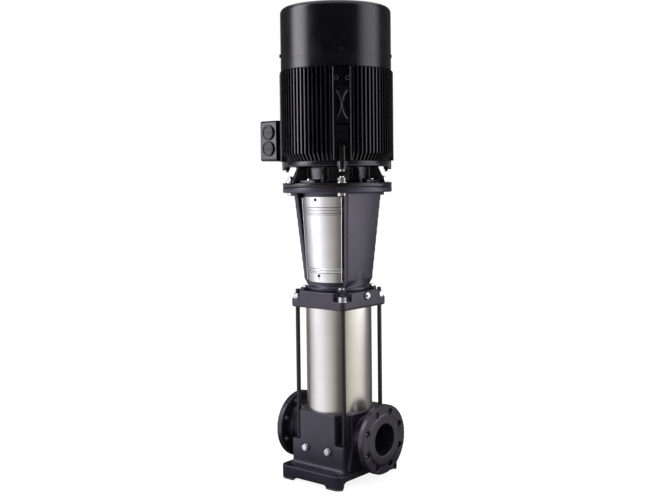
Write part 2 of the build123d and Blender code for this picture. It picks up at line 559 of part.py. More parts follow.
def guard_radius(height):
    """Outer radius of the guard's cone at a height."""
    share = (height - GUARD_LOW_Z) / (GUARD_HIGH_Z - GUARD_LOW_Z)
    return GUARD_LOW_R + share * (GUARD_HIGH_R - GUARD_LOW_R)


def cone_ring(low, high, thickness):
    """A ring of the stool that a guard lies on."""
    seat = GUARD_T + SEAT
    low_r, high_r = guard_radius(low) - seat, guard_radius(high) - seat
    return turned((low_r, low), (high_r, high), (high_r - thickness, high), (low_r - thickness, low))


def motor_stool():
    foot_top = HEAD_TOP + STOOL_FOOT
    stool = rod(STOOL_FOOT_R, STOOL_FOOT, (0, 0, HEAD_TOP))
    stool = chamfer(stool.faces().sort_by(Axis.Z)[-1].edges(), 3)
    for x, y in corners(STOOL_BOLT_AT, STOOL_BOLT_AT):
        stool -= rod(STOOL_LUG_R - 3, STOOL_FOOT, (x, y, HEAD_TOP + STOOL_LUG))
        stool += rod(STOOL_LUG_R, STOOL_LUG, (x, y, HEAD_TOP))
        stool -= rod(STOOL_BOLT_R + PASS, STOOL_FOOT, (x, y, HEAD_TOP - 1))
    stool += cone_ring(foot_top - 1, LOW_RING_TOP, RING_T)
    stool += cone_ring(HIGH_RING_LOW, STOOL_TOP - STOOL_FLANGE + 1, RING_T)
    flange = rod(STOOL_FLANGE_R, STOOL_FLANGE, (0, 0, STOOL_TOP - STOOL_FLANGE))
    stool += chamfer(flange.edges(), 1.5)
    wall = stool_wall()
    stool += wall
    stool += Rot(0, 0, 180) * wall
    stool -= rod(STOOL_FOOT_HOLE, STOOL_FOOT + 2, (0, 0, HEAD_TOP - 1))
    stool -= rod(STOOL_BORE, STOOL_FLANGE + 2, (0, 0, STOOL_TOP - STOOL_FLANGE - 1))
    stool -= rod(REGISTER_R + SLIP, REGISTER_H + SEAT + 1, (0, 0, STOOL_TOP - REGISTER_H - SEAT))
    under = (FLANGE_BOLT_PCD / 2, 0, STOOL_TOP - STOOL_FLANGE - 1)
    stool -= around(rod(FLANGE_BOLT_R + PASS, STOOL_FLANGE + 2, under))
    for side in (-1, 1):
        for height in (GUARD_SCREW_LOW, GUARD_SCREW_HIGH):
            start = (0, side * (guard_radius(height) - 12), height)
            stool -= rod(GUARD_SCREW_R + SLIP, 14, start, (0, side, 0))
    return stool


def stool_bolts():
    bolts = []
    seat = HEAD_TOP + STOOL_LUG
    for x, y in corners(STOOL_BOLT_AT, STOOL_BOLT_AT):
        bolt = hexagon(STOOL_BOLT_FLATS, STOOL_BOLT_HEAD, (x, y, seat))
        bolts.append(bolt + rod(STOOL_BOLT_R, STOOL_LUG + STOOL_BOLT_IN - 1, (x, y, seat), (0, 0, -1)))
    return bolts


def guard_profile():
    """Outer edge of the sheet from bottom to top, with its beads."""
    points = [(guard_radius(GUARD_LOW_Z), GUARD_LOW_Z)]
    for height in BEADS:
        for step, rise in ((-1.0, 0.0), (-0.45, 1.0), (0.45, 1.0), (1.0, 0.0)):
            place = height + step * BEAD_W
            points.append((guard_radius(place) + rise * BEAD_H, place))
    points.append((guard_radius(GUARD_HIGH_Z), GUARD_HIGH_Z))
    return points


def lip_section(height):
    """Section of the lip that the sheet turns at its edge, along the stool wall."""
    half = math.radians(GUARD_ARC / 2)
    radius = guard_radius(height) - GUARD_T / 2
    x, y = radius * math.sin(half), -radius * math.cos(half)
    length = LIP_W + LIP_SEAT
    return Plane.XY.offset(height) * (Pos(x, y + LIP_SEAT - length / 2) * Rectangle(GUARD_T, length))


def coupling_guard():
    """One guard, in front of the coupling."""
    outer = guard_profile()
    inner = [(radius - GUARD_T, height) for radius, height in reversed(outer)]
    sheet = revolve(Plane.XZ * Polygon(*outer, *inner, align=None), Axis.Z, GUARD_ARC)
    sheet = Rot(0, 0, -90 - GUARD_ARC / 2) * sheet
    for height in (GUARD_SCREW_LOW, GUARD_SCREW_HIGH):
        start = (0, -guard_radius(height) + 6, height)
        sheet -= rod(KEYHOLE_R, 14, start, (0, -1, 0))
        low = height - KEYHOLE_L if height == GUARD_SCREW_LOW else height
        sheet -= block((-KEYHOLE_W / 2, -guard_radius(height) - 8, low),
                       (KEYHOLE_W / 2, -guard_radius(height) + 6, low + KEYHOLE_L))
    lip = loft([lip_section(GUARD_LOW_Z + 4), lip_section(GUARD_HIGH_Z - 4)])
    return sheet + lip + mirror(lip, Plane.YZ)


def guard_screws():
    screws = []
    for side in (-1, 1):
        for height in (GUARD_SCREW_LOW, GUARD_SCREW_HIGH):
            face = side * (guard_radius(height) + 0.4)
            screw = rod(GUARD_SCREW_HEAD_R, GUARD_SCREW_HEAD, (0, face, height), (0, side, 0))
            screws.append(screw + rod(GUARD_SCREW_R, 10, (0, face, height), (0, -side, 0)))
    return screws


def coupling_half(side):
    top = COUPLING_LOW + COUPLING_H
    split = top - MOTOR_SHAFT_IN
    half = rod(COUPLING_R, COUPLING_H, (0, 0, COUPLING_LOW))
    half = chamfer(half.edges(), 2)
    half -= rod(SHAFT_R + RUN, COUPLING_H, (0, 0, COUPLING_LOW))
    half -= rod(MOTOR_SHAFT_R + RUN, MOTOR_SHAFT_IN + 1, (0, 0, split))
    edge = COUPLING_R + 1
    keep = block((-edge, COUPLING_GAP / 2, COUPLING_LOW), (edge, edge, top))
    half = half & (keep if side > 0 else mirror(keep, Plane.XZ))
    for x, z in coupling_bolt_places():
        if side > 0:
            half -= rod(COUPLING_BOLT_R + SLIP, 20, (x, 0, z), (0, 1, 0))
        else:
            half -= rod(COUPLING_BOLT_R + PASS, 60, (x, 0, z), (0, -1, 0))
            half -= rod(COUPLING_BOLT_HEAD_R + PASS, 60, (x, -COUPLING_SEAT, z), (0, -1, 0))
    return half


def coupling_bolt_places():
    heights = (COUPLING_LOW + COUPLING_BOLT_END, COUPLING_LOW + COUPLING_H - COUPLING_BOLT_END)
    return [(x, z) for x in (-COUPLING_BOLT_X, COUPLING_BOLT_X) for z in heights]


def coupling_screws():
    screws = []
    for x, z in coupling_bolt_places():
        seat = (x, -COUPLING_SEAT, z)
        screw = rod(COUPLING_BOLT_HEAD_R, COUPLING_BOLT_HEAD, seat, (0, -1, 0))
        screw -= hexagon(6, 4, (x, 4 - COUPLING_SEAT - COUPLING_BOLT_HEAD, z), (0, -1, 0))
        screws.append(screw + rod(COUPLING_BOLT_R, COUPLING_SEAT + COUPLING_BOLT_IN - 8, seat, (0, 1, 0)))
    return screws


# ------------------------------------------------------------------ motor


def drive_end_shield():
    ring_low = HOUSING_Z - SHIELD_RING
    flange_top = MOTOR_Z + MOTOR_FLANGE
    seat = DRIVE_SEAT
    floor = seat - 12.0
    shield = turned(
        (SHIELD_HUB_IN, MOTOR_Z - REGISTER_H), (REGISTER_R, MOTOR_Z - REGISTER_H), (REGISTER_R, MOTOR_Z),
        (STOOL_FLANGE_R, MOTOR_Z), (STOOL_FLANGE_R, flange_top), (SHIELD_HUB_R, flange_top),
        (SHIELD_HUB_R, ring_low), (SHIELD_RING_R, ring_low), (SHIELD_RING_R, HOUSING_Z),
        (HOUSING_BORE - SLIP, HOUSING_Z), (HOUSING_BORE - SLIP, HOUSING_Z + 5),
        (HOUSING_BORE - 7, HOUSING_Z + 5), (HOUSING_BORE - 7, HOUSING_Z - 7),
        (SHIELD_HUB_IN + 2, HOUSING_Z - 7), (SHIELD_HUB_IN, seat),
        (DE_BEARING_R + 13, seat), (DE_BEARING_R + 13, seat + DE_BEARING_W + 2),
        (DE_BEARING_R + SLIP, seat + DE_BEARING_W + 2), (DE_BEARING_R + SLIP, seat),
        (DE_BEARING_BORE + 6, seat), (DE_BEARING_BORE + 6, floor), (SHIELD_HUB_IN, floor),
    )
    root = SHIELD_HUB_R - 4
    rib = radial_plate(RIB_T, (root, flange_top - 1), (RIB_LOW_R, flange_top - 1),
                       (RIB_LOW_R, flange_top), (RIB_HIGH_R, ring_low + 1), (root, ring_low + 1))
    shield += around(rib, SHIELD_RIBS, 22.5)
    near, boss_top = BOSS_IN_R - 1, flange_top + BOSS_H
    outline = Polygon((near, flange_top - 1), (BOSS_OUT_R, flange_top - 1),
                      (BOSS_OUT_R, boss_top), (near, boss_top), align=None)
    boss = revolve(Plane.XZ * outline, Axis.Z, BOSS_ARC)
    shield += around(Rot(0, 0, -BOSS_ARC / 2) * boss, start=0.0)
    lug = rod(LUG_R, LUG_H, (LUG_AT, 0, HOUSING_Z - LUG_H))
    lug -= rod(HOUSING_BORE + 2, 100, (0, 0, HOUSING_Z - 60))
    shield += around(lug)
    hole = rod(FLANGE_BOLT_R + PASS, MOTOR_FLANGE + 2, (FLANGE_BOLT_PCD / 2, 0, MOTOR_Z - 1))
    shield -= around(hole)
    shield -= around(rod(LUG_SCREW_R + PASS, 60, (LUG_AT, 0, HOUSING_Z - LUG_H - 1)))
    shield -= around(rod(BOSS_SCREW_R + SLIP, 12, (BOSS_SCREW_AT, 0, boss_top - 11)), start=0.0)
    return shield


def flange_fasteners():
    at = FLANGE_BOLT_PCD / 2
    under = STOOL_TOP - STOOL_FLANGE
    nut_low = MOTOR_Z + MOTOR_FLANGE + FLANGE_WASHER
    nut_high = nut_low + FLANGE_NUT
    bolt = hexagon(FLANGE_BOLT_FLATS, FLANGE_BOLT_HEAD, (at, 0, under), (0, 0, -1))
    bolt += rod(FLANGE_BOLT_R, nut_high + FLANGE_BOLT_END - under, (at, 0, under))
    nut = hexagon(FLANGE_BOLT_FLATS, FLANGE_NUT, (at, 0, nut_low))
    nut -= rod(FLANGE_BOLT_R + SLIP, FLANGE_NUT, (at, 0, nut_low))
    low = MOTOR_Z + MOTOR_FLANGE
    washer = rod(FLANGE_WASHER_R, FLANGE_WASHER, (at, 0, low))
    washer -= rod(FLANGE_BOLT_R + SEAT, FLANGE_WASHER, (at, 0, low))
    return around(bolt), around(nut), around(washer)


def shield_screws():
    under = HOUSING_Z - LUG_H
    screw = hexagon(LUG_SCREW_FLATS, LUG_SCREW_HEAD, (LUG_AT, 0, under), (0, 0, -1))
    return around(screw + rod(LUG_SCREW_R, LUG_SCREW_IN, (LUG_AT, 0, under)))


def boss_screws():
    seat = MOTOR_Z + MOTOR_FLANGE + BOSS_H
    screw = hexagon(BOSS_SCREW_FLATS, BOSS_SCREW_HEAD, (BOSS_SCREW_AT, 0, seat))
    return around(screw + rod(BOSS_SCREW_R, 10, (BOSS_SCREW_AT, 0, seat), (0, 0, -1)), start=0.0)


def corner_strip():
    """Strip between two groups of fins, with ribs, pad, waisted post and two eyes. It faces +X."""
    low, high = HOUSING_Z, HOUSING_TOP - FIN_END
    near = HOUSING_BORE + 2
    strip = block((near, -STRIP_HALF + 2, low + STRIP_LUG_H - 10), (STRIP_R, STRIP_HALF - 2, high))
    for side in (-1, 1):
        y = side * STRIP_HALF
        strip += block((near, y - STRIP_RIB_T / 2, low), (STRIP_RIB_R, y + STRIP_RIB_T / 2, high))
    pad_low = low + STRIP_PAD_Z
    pad = block((STRIP_R - 1, -STRIP_PAD_HALF, pad_low),
                (STRIP_PAD_R, STRIP_PAD_HALF, pad_low + STRIP_PAD_H))
    strip += chamfer(pad.faces().sort_by(Axis.X)[-1].edges(), 3)
    post_low = low + SPOOL_Z
    post = block((STRIP_R - 1, -SPOOL_HALF, post_low), (STRIP_PAD_R, SPOOL_HALF, post_low + SPOOL_H))
    for side in (-1, 1):
        cut = (0, side * (SPOOL_WAIST + SPOOL_CURVE), post_low + SPOOL_H / 2)
        post -= rod(SPOOL_CURVE, 2 * BARREL_R, cut, (1, 0, 0))
    strip += post
    for y in (-EYE_Y, EYE_Y):
        strip += rod(EYE_BOSS_R, STRIP_RIB_R - STRIP_R + 1, (STRIP_R - 1, y, low + EYE_Z), (1, 0, 0))
        strip -= rod(EYE_HOLE_R, 10, (STRIP_RIB_R - 8, y, low + EYE_Z), (1, 0, 0))
    lug = rod(LUG_R, STRIP_LUG_H, (LUG_AT, 0, low))
    lug &= block((near, -LUG_R, low), (LUG_AT + LUG_R, LUG_R, high))
    return strip + lug


def stator_housing():
    barrel = ring(BARREL_R, HOUSING_BORE, HOUSING_Z, HOUSING_TOP)
    root = BARREL_R - 2
    high = HOUSING_TOP - FIN_END
    fin = radial_plate(FIN_T, (root, HOUSING_Z), (FIN_FOOT_R, HOUSING_Z),
                       (FIN_R, HOUSING_Z + FIN_CHAMFER), (FIN_R, high), (root, high))
    turns = [FIN_PITCH * (i - (FINS - 1) / 2) for i in range(FINS)]
    fins = [Rot(0, 0, 90 * quarter + turn) * fin for quarter in QUARTERS for turn in turns]
    housing = barrel + fins
    housing += around(corner_strip())
    housing += slab(NECK_Y, BOX_LOW + NECK_IN, BOX_HIGH - NECK_IN, 6, -BOX_FOOT, -(HOUSING_BORE - 10))
    housing -= rod(HOUSING_BORE, HOUSING_L + 2, (0, 0, HOUSING_Z - 1))
    housing -= around(rod(LUG_SCREW_R + SLIP, STRIP_LUG_H - 2, (LUG_AT, 0, HOUSING_Z - 1)))
    way = (20 - HOUSING_BORE, 0, (BOX_LOW + BOX_HIGH) / 2)
    housing -= rod(CABLE_WAY_R, BOX_FOOT + 20 - HOUSING_BORE, way, (-1, 0, 0))
    return housing


def stator_core():
    return ring(HOUSING_BORE - SLIP, STATOR_BORE, HOUSING_Z + STATOR_Z, HOUSING_Z + STATOR_Z + STATOR_H)


def windings():
    low, high = HOUSING_Z + STATOR_Z, HOUSING_Z + STATOR_Z + STATOR_H
    bundles = []
    for start, way in ((low, -1), (high, 1)):
        shoulder, end = start + way * (WINDING_H - 10), start + way * WINDING_H
        bundles.append(turned(
            (WINDING_IN, start), (WINDING_OUT, start), (WINDING_OUT - 2, shoulder),
            (WINDING_OUT - 12, end), (WINDING_IN + 10, end), (WINDING_IN, shoulder)))
    return bundles


def rotor_core():
    low, high = HOUSING_Z + STATOR_Z, HOUSING_Z + STATOR_Z + STATOR_H
    core = ring(ROTOR_R, ROTOR_BORE + RUN, low, high)
    core += ring(ROTOR_R - 6, END_RING_IN, low - END_RING_H, low)
    core += ring(ROTOR_R - 6, END_RING_IN, high, high + END_RING_H)
    return core


def motor_shaft():
    low = COUPLING_LOW + COUPLING_H - MOTOR_SHAFT_IN
    drive_top, nde_top = DRIVE_SEAT + DE_BEARING_W, NDE_SEAT + NDE_BEARING_W
    shoulder = NDE_SEAT - 12
    fan_high = HOUSING_TOP + FAN_Z + FAN_H - 6
    return turned(
        (0, low), (MOTOR_SHAFT_R - 2, low), (MOTOR_SHAFT_R, low + 2), (MOTOR_SHAFT_R, DRIVE_SEAT),
        (DE_BEARING_BORE, DRIVE_SEAT), (DE_BEARING_BORE, drive_top), (ROTOR_BORE, drive_top),
        (ROTOR_BORE, shoulder), (NDE_BEARING_BORE + 3, shoulder), (NDE_BEARING_BORE + 3, NDE_SEAT),
        (NDE_BEARING_BORE, NDE_SEAT), (NDE_BEARING_BORE, nde_top), (FAN_SHAFT_R, nde_top),
        (FAN_SHAFT_R, fan_high), (0, fan_high))


def bearing(outer, bore, low, width):
    """Outer ring, inner ring and the cage between them."""
    third = (outer - bore) / 3
    high = low + width
    return (ring(outer, outer - third, low, high), ring(bore + third, bore + RUN, low, high),
            ring(outer - third - SEAT, bore + third + SEAT, low + 3, high - 3))


def nde_shield():
    seat = NDE_SEAT
    hub = NDE_BEARING_R + 10
    spigot, inside = HOUSING_BORE - SLIP, HOUSING_BORE - 8
    shield = turned(
        (NDE_BEARING_BORE + 6, seat - 8), (hub, seat - 8), (hub, HOUSING_TOP), (inside, HOUSING_TOP),
        (inside, HOUSING_TOP - NDE_SPIGOT), (spigot, HOUSING_TOP - NDE_SPIGOT), (spigot, HOUSING_TOP),
        (BARREL_R, HOUSING_TOP), (BARREL_R, HOUSING_TOP + NDE_PLATE), (inside, HOUSING_TOP + NDE_PLATE),
        (inside, HOUSING_TOP + 8), (hub, HOUSING_TOP + 8),
        (hub, seat + NDE_BEARING_W + 2), (NDE_BEARING_R + SLIP, seat + NDE_BEARING_W + 2),
        (NDE_BEARING_R + SLIP, seat), (NDE_BEARING_BORE + 6, seat))
    lug_top = HOUSING_TOP + COVER_SCREW_Z + 10
    reach = COVER_R - COVER_WALL
    lug = block((HOUSING_BORE - 2, -10, HOUSING_TOP), (reach, 10, lug_top))
    shield += around(lug & rod(reach - SEAT, COVER_H, (0, 0, HOUSING_TOP)))
    screw_from = (reach - 18, 0, HOUSING_TOP + COVER_SCREW_Z)
    shield -= around(rod(COVER_SCREW_R + SLIP, 30, screw_from, (1, 0, 0)))
    return shield


def fan():
    low = HOUSING_TOP + FAN_Z
    wheel = ring(FAN_HUB_R, FAN_SHAFT_R + RUN, low - 8, low + FAN_H - 10)
    wheel += ring(FAN_R, FAN_HUB_R - 1, low, low + FAN_DISC)
    near, shoulder = FAN_HUB_R - 2, low + FAN_H - 12
    blade = radial_plate(FAN_BLADE_T, (near, low + 1), (FAN_R, low + 1), (FAN_R, shoulder),
                         (FAN_R - 40, low + FAN_H), (near, shoulder))
    return wheel + around(blade, FAN_BLADES, 0.0)


def fan_cover():
    low, high = HOUSING_TOP, HOUSING_TOP + COVER_H
    shell = rod(COVER_R, COVER_H, (0, 0, low))
    shell = fillet(shell.faces().sort_by(Axis.Z)[-1].edges(), COVER_EDGE)
    inside = rod(COVER_R - COVER_WALL, COVER_H - COVER_WALL, (0, 0, low))
    shell -= fillet(inside.faces().sort_by(Axis.Z)[-1].edges(), COVER_EDGE - COVER_WALL)
    groove = low + COVER_BAND
    shell -= ring(COVER_R + 1, COVER_R - COVER_GROOVE_D, groove, groove + COVER_GROOVE)
    for (inner, outer), count in zip(GRILLE_ROWS, GRILLE_SLOTS):
        slot = block((inner, -GRILLE_W / 2, high - 2 * COVER_WALL), (outer, GRILLE_W / 2, high + 1))
        shell -= around(slot, count, 0.0)
    shell -= around(rod(COVER_SCREW_R + SEAT, 20, (COVER_R - 10, 0, low + COVER_SCREW_Z), (1, 0, 0)))
    return shell


def cover_screws():
    height = HOUSING_TOP + COVER_SCREW_Z
    screw = hexagon(COVER_SCREW_FLATS, COVER_SCREW_HEAD, (COVER_R, 0, height), (1, 0, 0))
    return around(screw + rod(COVER_SCREW_R, 16, (COVER_R, 0, height), (-1, 0, 0)))


# ------------------------------------------------------------------ terminal box


def box_screw_places():
    inset = LID_SCREW_IN
    return [(y, z) for y in (-BOX_Y + inset, BOX_Y - inset) for z in (BOX_LOW + inset, BOX_HIGH - inset)]


def plug_places():
    middle = (BOX_LOW + BOX_HIGH) / 2
    return (middle - PLUG_PITCH / 2 + 1, middle + PLUG_PITCH / 2 + 1)


def terminal_box():
    body = slab(BOX_Y, BOX_LOW, BOX_HIGH, BOX_CORNER, -BOX_FACE, -BOX_BACK)
    body += slab(NECK_Y, BOX_LOW + NECK_IN, BOX_HIGH - NECK_IN, 6, -BOX_BACK - 1, -BOX_FOOT)
    wall = BOX_WALL
    inside_x = -BOX_BACK - wall
    body -= slab(BOX_Y - wall, BOX_LOW + wall, BOX_HIGH - wall, BOX_CORNER - 3, -BOX_FACE - 1, inside_x)
    whole = slab(BOX_Y, BOX_LOW, BOX_HIGH, BOX_CORNER, -BOX_FACE, -BOX_BACK)
    for y, z in box_screw_places():
        post = rod(BOX_POST_R, BOX_FACE + inside_x + 1, (inside_x + 1, y, z), (-1, 0, 0))
        body += post & whole
        body -= rod(LID_SCREW_R + SLIP, 15, (-BOX_FACE, y, z), (1, 0, 0))
    body -= rod(CABLE_WAY_R, 60, (-BOX_BACK - 20, 0, (BOX_LOW + BOX_HIGH) / 2), (1, 0, 0))
    for z in plug_places():
        body -= rod(PLUG_SHANK_R + SLIP, wall + 2, (-PLUG_X, -BOX_Y - 1, z), (0, 1, 0))
    return body


def terminal_lid():
    lid = slab(BOX_Y, BOX_LOW, BOX_HIGH, BOX_CORNER, -BOX_FACE - LID_T, -BOX_FACE)
    lid = chamfer(lid.faces().sort_by(Axis.X)[0].edges(), 2.5)
    lid -= slab(BOX_Y - 18, BOX_LOW + 18, BOX_HIGH - 18, 4, -BOX_FACE - LID_T + LID_WALL, -BOX_FACE)
    for y, z in box_screw_places():
        lid -= rod(LID_SCREW_R + SEAT, LID_T + 2, (-BOX_FACE + 1, y, z), (-1, 0, 0))
    return lid


def lid_screws():
    screws = []
    face = -BOX_FACE - LID_T
    for y, z in box_screw_places():
        screw = rod(LID_SCREW_HEAD_R, LID_SCREW_HEAD, (face, y, z), (-1, 0, 0))
        screws.append(screw + rod(LID_SCREW_R, LID_T + 12, (face, y, z), (1, 0, 0)))
    return screws


def blanking_plugs():
    plugs = []
    for z in plug_places():
        head = rod(PLUG_R, PLUG_T, (-PLUG_X, -BOX_Y, z), (0, -1, 0))
        head = chamfer(head.faces().sort_by(Axis.Y)[0].edges(), 2)
        plugs.append(head + rod(PLUG_SHANK_R, BOX_WALL + 6, (-PLUG_X, -BOX_Y, z), (0, 1, 0)))
    return plugs


def terminal_block():
    """Insulating block on the box's back wall, with its six studs."""
    middle = (BOX_LOW + BOX_HIGH) / 2
    back = -BOX_BACK - BOX_WALL
    low = middle + CABLE_WAY_R + 1
    high = low + TERMINAL_H - 16
    board = block((back - TERMINAL_T, -TERMINAL_Y / 2, low), (back, TERMINAL_Y / 2, high))
    for i in (-1, 0, 1):
        for height in (low + 9, low + 23):
            board += rod(STUD_R, STUD_H, (back - TERMINAL_T + 1, 24 * i, height), (-1, 0, 0))
    return board


# ------------------------------------------------------------------ write every node

save("base_casting", base_casting())
plugs, washers = drain_pieces()
save("drain_plugs", *plugs)
save("drain_washers", *washers)
save("outer_sleeve", outer_sleeve())
save("sleeve_seals", *sleeve_seals())
bolts, nuts, washers = stay_pieces()
save("staybolts", *bolts)
save("staybolt_nuts", *nuts)
save("staybolt_washers", *washers)
save("pump_head", pump_head())
plug, spindle = vent_pieces()
save("vent_plug", plug)
save("vent_spindle", spindle)

save("inlet_part", inlet_part())
save("bottom_bearing", bottom_bearing())
for number in range(STAGES):
    save(f"chamber_{number + 1}", chamber(number))
    save(f"impeller_{number + 1}", impeller(number))
save("top_chamber", top_chamber())
save("chamber_straps", *straps())
save("shaft_spacers", *spacers())
save("stack_nut", stack_nut())
save("pump_shaft", pump_shaft())
save("seal_gland", seal_gland())
save("seal_seat", seal_seat())
save("seal_rotor", seal_rotor())

save("motor_stool", motor_stool())
save("stool_bolts", *stool_bolts())
guard = coupling_guard()
save("coupling_guard_front", guard)
save("coupling_guard_back", Rot(0, 0, 180) * guard)
save("guard_screws", *guard_screws())
save("coupling_half_front", coupling_half(-1))
save("coupling_half_back", coupling_half(1))
save("coupling_screws", *coupling_screws())

save("drive_end_shield", drive_end_shield())
bolts, nuts, washers = flange_fasteners()
save("flange_bolts", *bolts)
save("flange_nuts", *nuts)
save("flange_washers", *washers)
save("shield_screws", *shield_screws())
save("boss_screws", *boss_screws())
save("stator_housing", stator_housing())
save("stator_core", stator_core())
save("windings", *windings())
save("rotor_core", rotor_core())
save("motor_shaft", motor_shaft())
drive = bearing(DE_BEARING_R, DE_BEARING_BORE, DRIVE_SEAT, DE_BEARING_W)
nde = bearing(NDE_BEARING_R, NDE_BEARING_BORE, NDE_SEAT, NDE_BEARING_W)
for name, drive_piece, nde_piece in zip(("outer_rings", "inner_rings", "cages"), drive, nde):
    save(f"bearing_{name}", drive_piece, nde_piece)
save("nde_shield", nde_shield())
save("cooling_fan", fan())
save("fan_cover", fan_cover())
save("cover_screws", *cover_screws())
save("terminal_box", terminal_box())
save("terminal_lid", terminal_lid())
save("lid_screws", *lid_screws())
save("blanking_plugs", *blanking_plugs())
save("terminal_block", terminal_block())
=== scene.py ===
"""Looks of a vertical multistage pump: finishes, castings, fasteners, threads, studio and camera.

Metres, +Z up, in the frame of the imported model. -Y is the side with the drain plugs.
"""
import json
import math

import bmesh
import bpy
from mathutils import Matrix, Vector


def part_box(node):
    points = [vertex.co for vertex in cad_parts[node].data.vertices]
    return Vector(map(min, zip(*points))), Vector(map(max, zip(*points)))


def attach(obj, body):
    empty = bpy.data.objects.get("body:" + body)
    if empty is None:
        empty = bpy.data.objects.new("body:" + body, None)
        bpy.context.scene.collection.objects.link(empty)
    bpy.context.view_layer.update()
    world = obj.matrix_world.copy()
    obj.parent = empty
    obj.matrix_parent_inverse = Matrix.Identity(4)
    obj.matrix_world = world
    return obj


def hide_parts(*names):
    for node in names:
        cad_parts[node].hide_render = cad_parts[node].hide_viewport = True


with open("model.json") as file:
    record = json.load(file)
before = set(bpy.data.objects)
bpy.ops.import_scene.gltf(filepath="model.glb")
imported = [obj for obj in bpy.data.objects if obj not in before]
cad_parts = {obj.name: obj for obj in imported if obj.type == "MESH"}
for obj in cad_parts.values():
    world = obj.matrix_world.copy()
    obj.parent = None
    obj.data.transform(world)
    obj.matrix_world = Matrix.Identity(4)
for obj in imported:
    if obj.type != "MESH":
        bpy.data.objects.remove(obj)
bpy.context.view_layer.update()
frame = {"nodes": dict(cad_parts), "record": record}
nodes = frame["nodes"]
MM = 0.001


# ------------------------------------------------------------------ finishes


class Finish:
    """One material: a principled shader with patterns laid on it in metres."""

    def __init__(self, name, colour, metallic=0.0, roughness=0.5, **sockets):
        self.material = bpy.data.materials.new(name)
        self.material.use_nodes = True
        self.tree = self.material.node_tree
        self.shader = self.tree.nodes["Principled BSDF"]
        self.set("Base Color", (*colour, 1.0))
        self.set("Metallic", metallic)
        self.set("Roughness", roughness)
        for socket, value in sockets.items():
            self.set(socket.replace("_", " "), value)
        self.place = self.tree.nodes.new("ShaderNodeTexCoord").outputs["Object"]

    def set(self, socket, value):
        self.shader.inputs[socket].default_value = value

    def node(self, kind, **inputs):
        made = self.tree.nodes.new(kind)
        for socket, value in inputs.items():
            target = made.inputs[socket.replace("_", " ")]
            if isinstance(value, bpy.types.NodeSocket):
                self.tree.links.new(value, target)
            else:
                target.default_value = value
        return made

    def stretched(self, x, y, z):
        """Object coordinates scaled along each axis."""
        return self.node("ShaderNodeMapping", Vector=self.place, Scale=(x, y, z)).outputs["Vector"]

    def noise(self, size, detail=3.0, rough=0.5, at=None):
        """Noise whose lumps are about that size in metres."""
        made = self.node("ShaderNodeTexNoise", Vector=at or self.place, Scale=1.0 / size,
                         Detail=detail, Roughness=rough)
        return made.outputs["Fac"]

    def between(self, factor, low, high, start=0.35, end=0.65):
        made = self.node("ShaderNodeMapRange", Value=factor)
        for index, value in enumerate((start, end, low, high), 1):
            made.inputs[index].default_value = value
        return made.outputs["Result"]

    def blend(self, factor, first, second):
        """A colour between two, each a colour or a socket."""
        made = self.tree.nodes.new("ShaderNodeMix")
        made.data_type = "RGBA"
        self.tree.links.new(factor, made.inputs[0])
        for socket, value in ((made.inputs[6], first), (made.inputs[7], second)):
            if isinstance(value, bpy.types.NodeSocket):
                self.tree.links.new(value, socket)
            else:
                socket.default_value = (*value, 1.0)
        return made.outputs[2]

    def into(self, socket, value):
        self.tree.links.new(value, self.shader.inputs[socket])

    def relief(self, *layers, edge=0.0):
        """Bump layers, each a pattern, its depth in metres and its strength, over softened edges."""
        normal = None
        if edge:
            soft = self.node("ShaderNodeBevel", Radius=edge)
            soft.samples = 6
            normal = soft.outputs["Normal"]
        for pattern, depth, strength in layers:
            bump = self.node("ShaderNodeBump", Height=pattern, Distance=depth, Strength=strength)
            if normal is not None:
                self.tree.links.new(normal, bump.inputs["Normal"])
            normal = bump.outputs["Normal"]
        self.into("Normal", normal)


def painted_casting(name, colour, lighter, edge):
    """Sand-cast iron under satin enamel: grain, soft waves, thinner paint in places."""
    paint = Finish(name, colour, roughness=0.42, Specular_Tint=(0.86, 0.82, 1.0, 1.0),
                   Coat_Weight=0.4, Coat_Roughness=0.24, Coat_Tint=(0.92, 0.9, 1.0, 1.0))
    grain = paint.noise(0.0016, detail=4.0, rough=0.62)
    waves = paint.noise(0.022, detail=2.0)
    patches = paint.noise(0.06, detail=3.0)
    paint.into("Base Color", paint.blend(paint.between(patches, 0.0, 1.0), colour, lighter))
    paint.into("Roughness", paint.between(grain, 0.34, 0.5))
    paint.relief((waves, 0.0016, 0.22), (grain, 0.0004, 0.5), edge=edge)
    return paint.material


def satin_paint(name, colour, lighter, edge):
    """Sprayed paint on sheet and die castings, with a fine orange peel."""
    paint = Finish(name, colour, roughness=0.3, Specular_IOR_Level=0.3,
                   Specular_Tint=(0.9, 0.86, 1.0, 1.0), Coat_Weight=0.55, Coat_Roughness=0.16)
    peel = paint.noise(0.0024, detail=2.0)
    dust = paint.noise(0.05, detail=4.0, rough=0.6)
    paint.into("Base Color", paint.blend(paint.between(dust, 0.0, 1.0), colour, lighter))
    paint.into("Roughness", paint.between(dust, 0.26, 0.34))
    paint.relief((peel, 0.0002, 0.35), edge=edge)
    return paint.material


def brushed_steel(name, colour, roughness, along):
    """Rolled sheet with fine brush lines; along scales the lines' length on each axis."""
    steel = Finish(name, colour, metallic=1.0, roughness=roughness)
    lines = steel.noise(1.0, detail=3.0, rough=0.7, at=steel.stretched(*along))
    clouds = steel.noise(0.05, detail=2.0)
    darker = tuple(0.95 * c for c in colour)
    steel.into("Base Color", steel.blend(steel.between(clouds, 0.0, 1.0), colour, darker))
    steel.into("Roughness", steel.between(lines, roughness - 0.01, roughness + 0.01))
    return steel.material


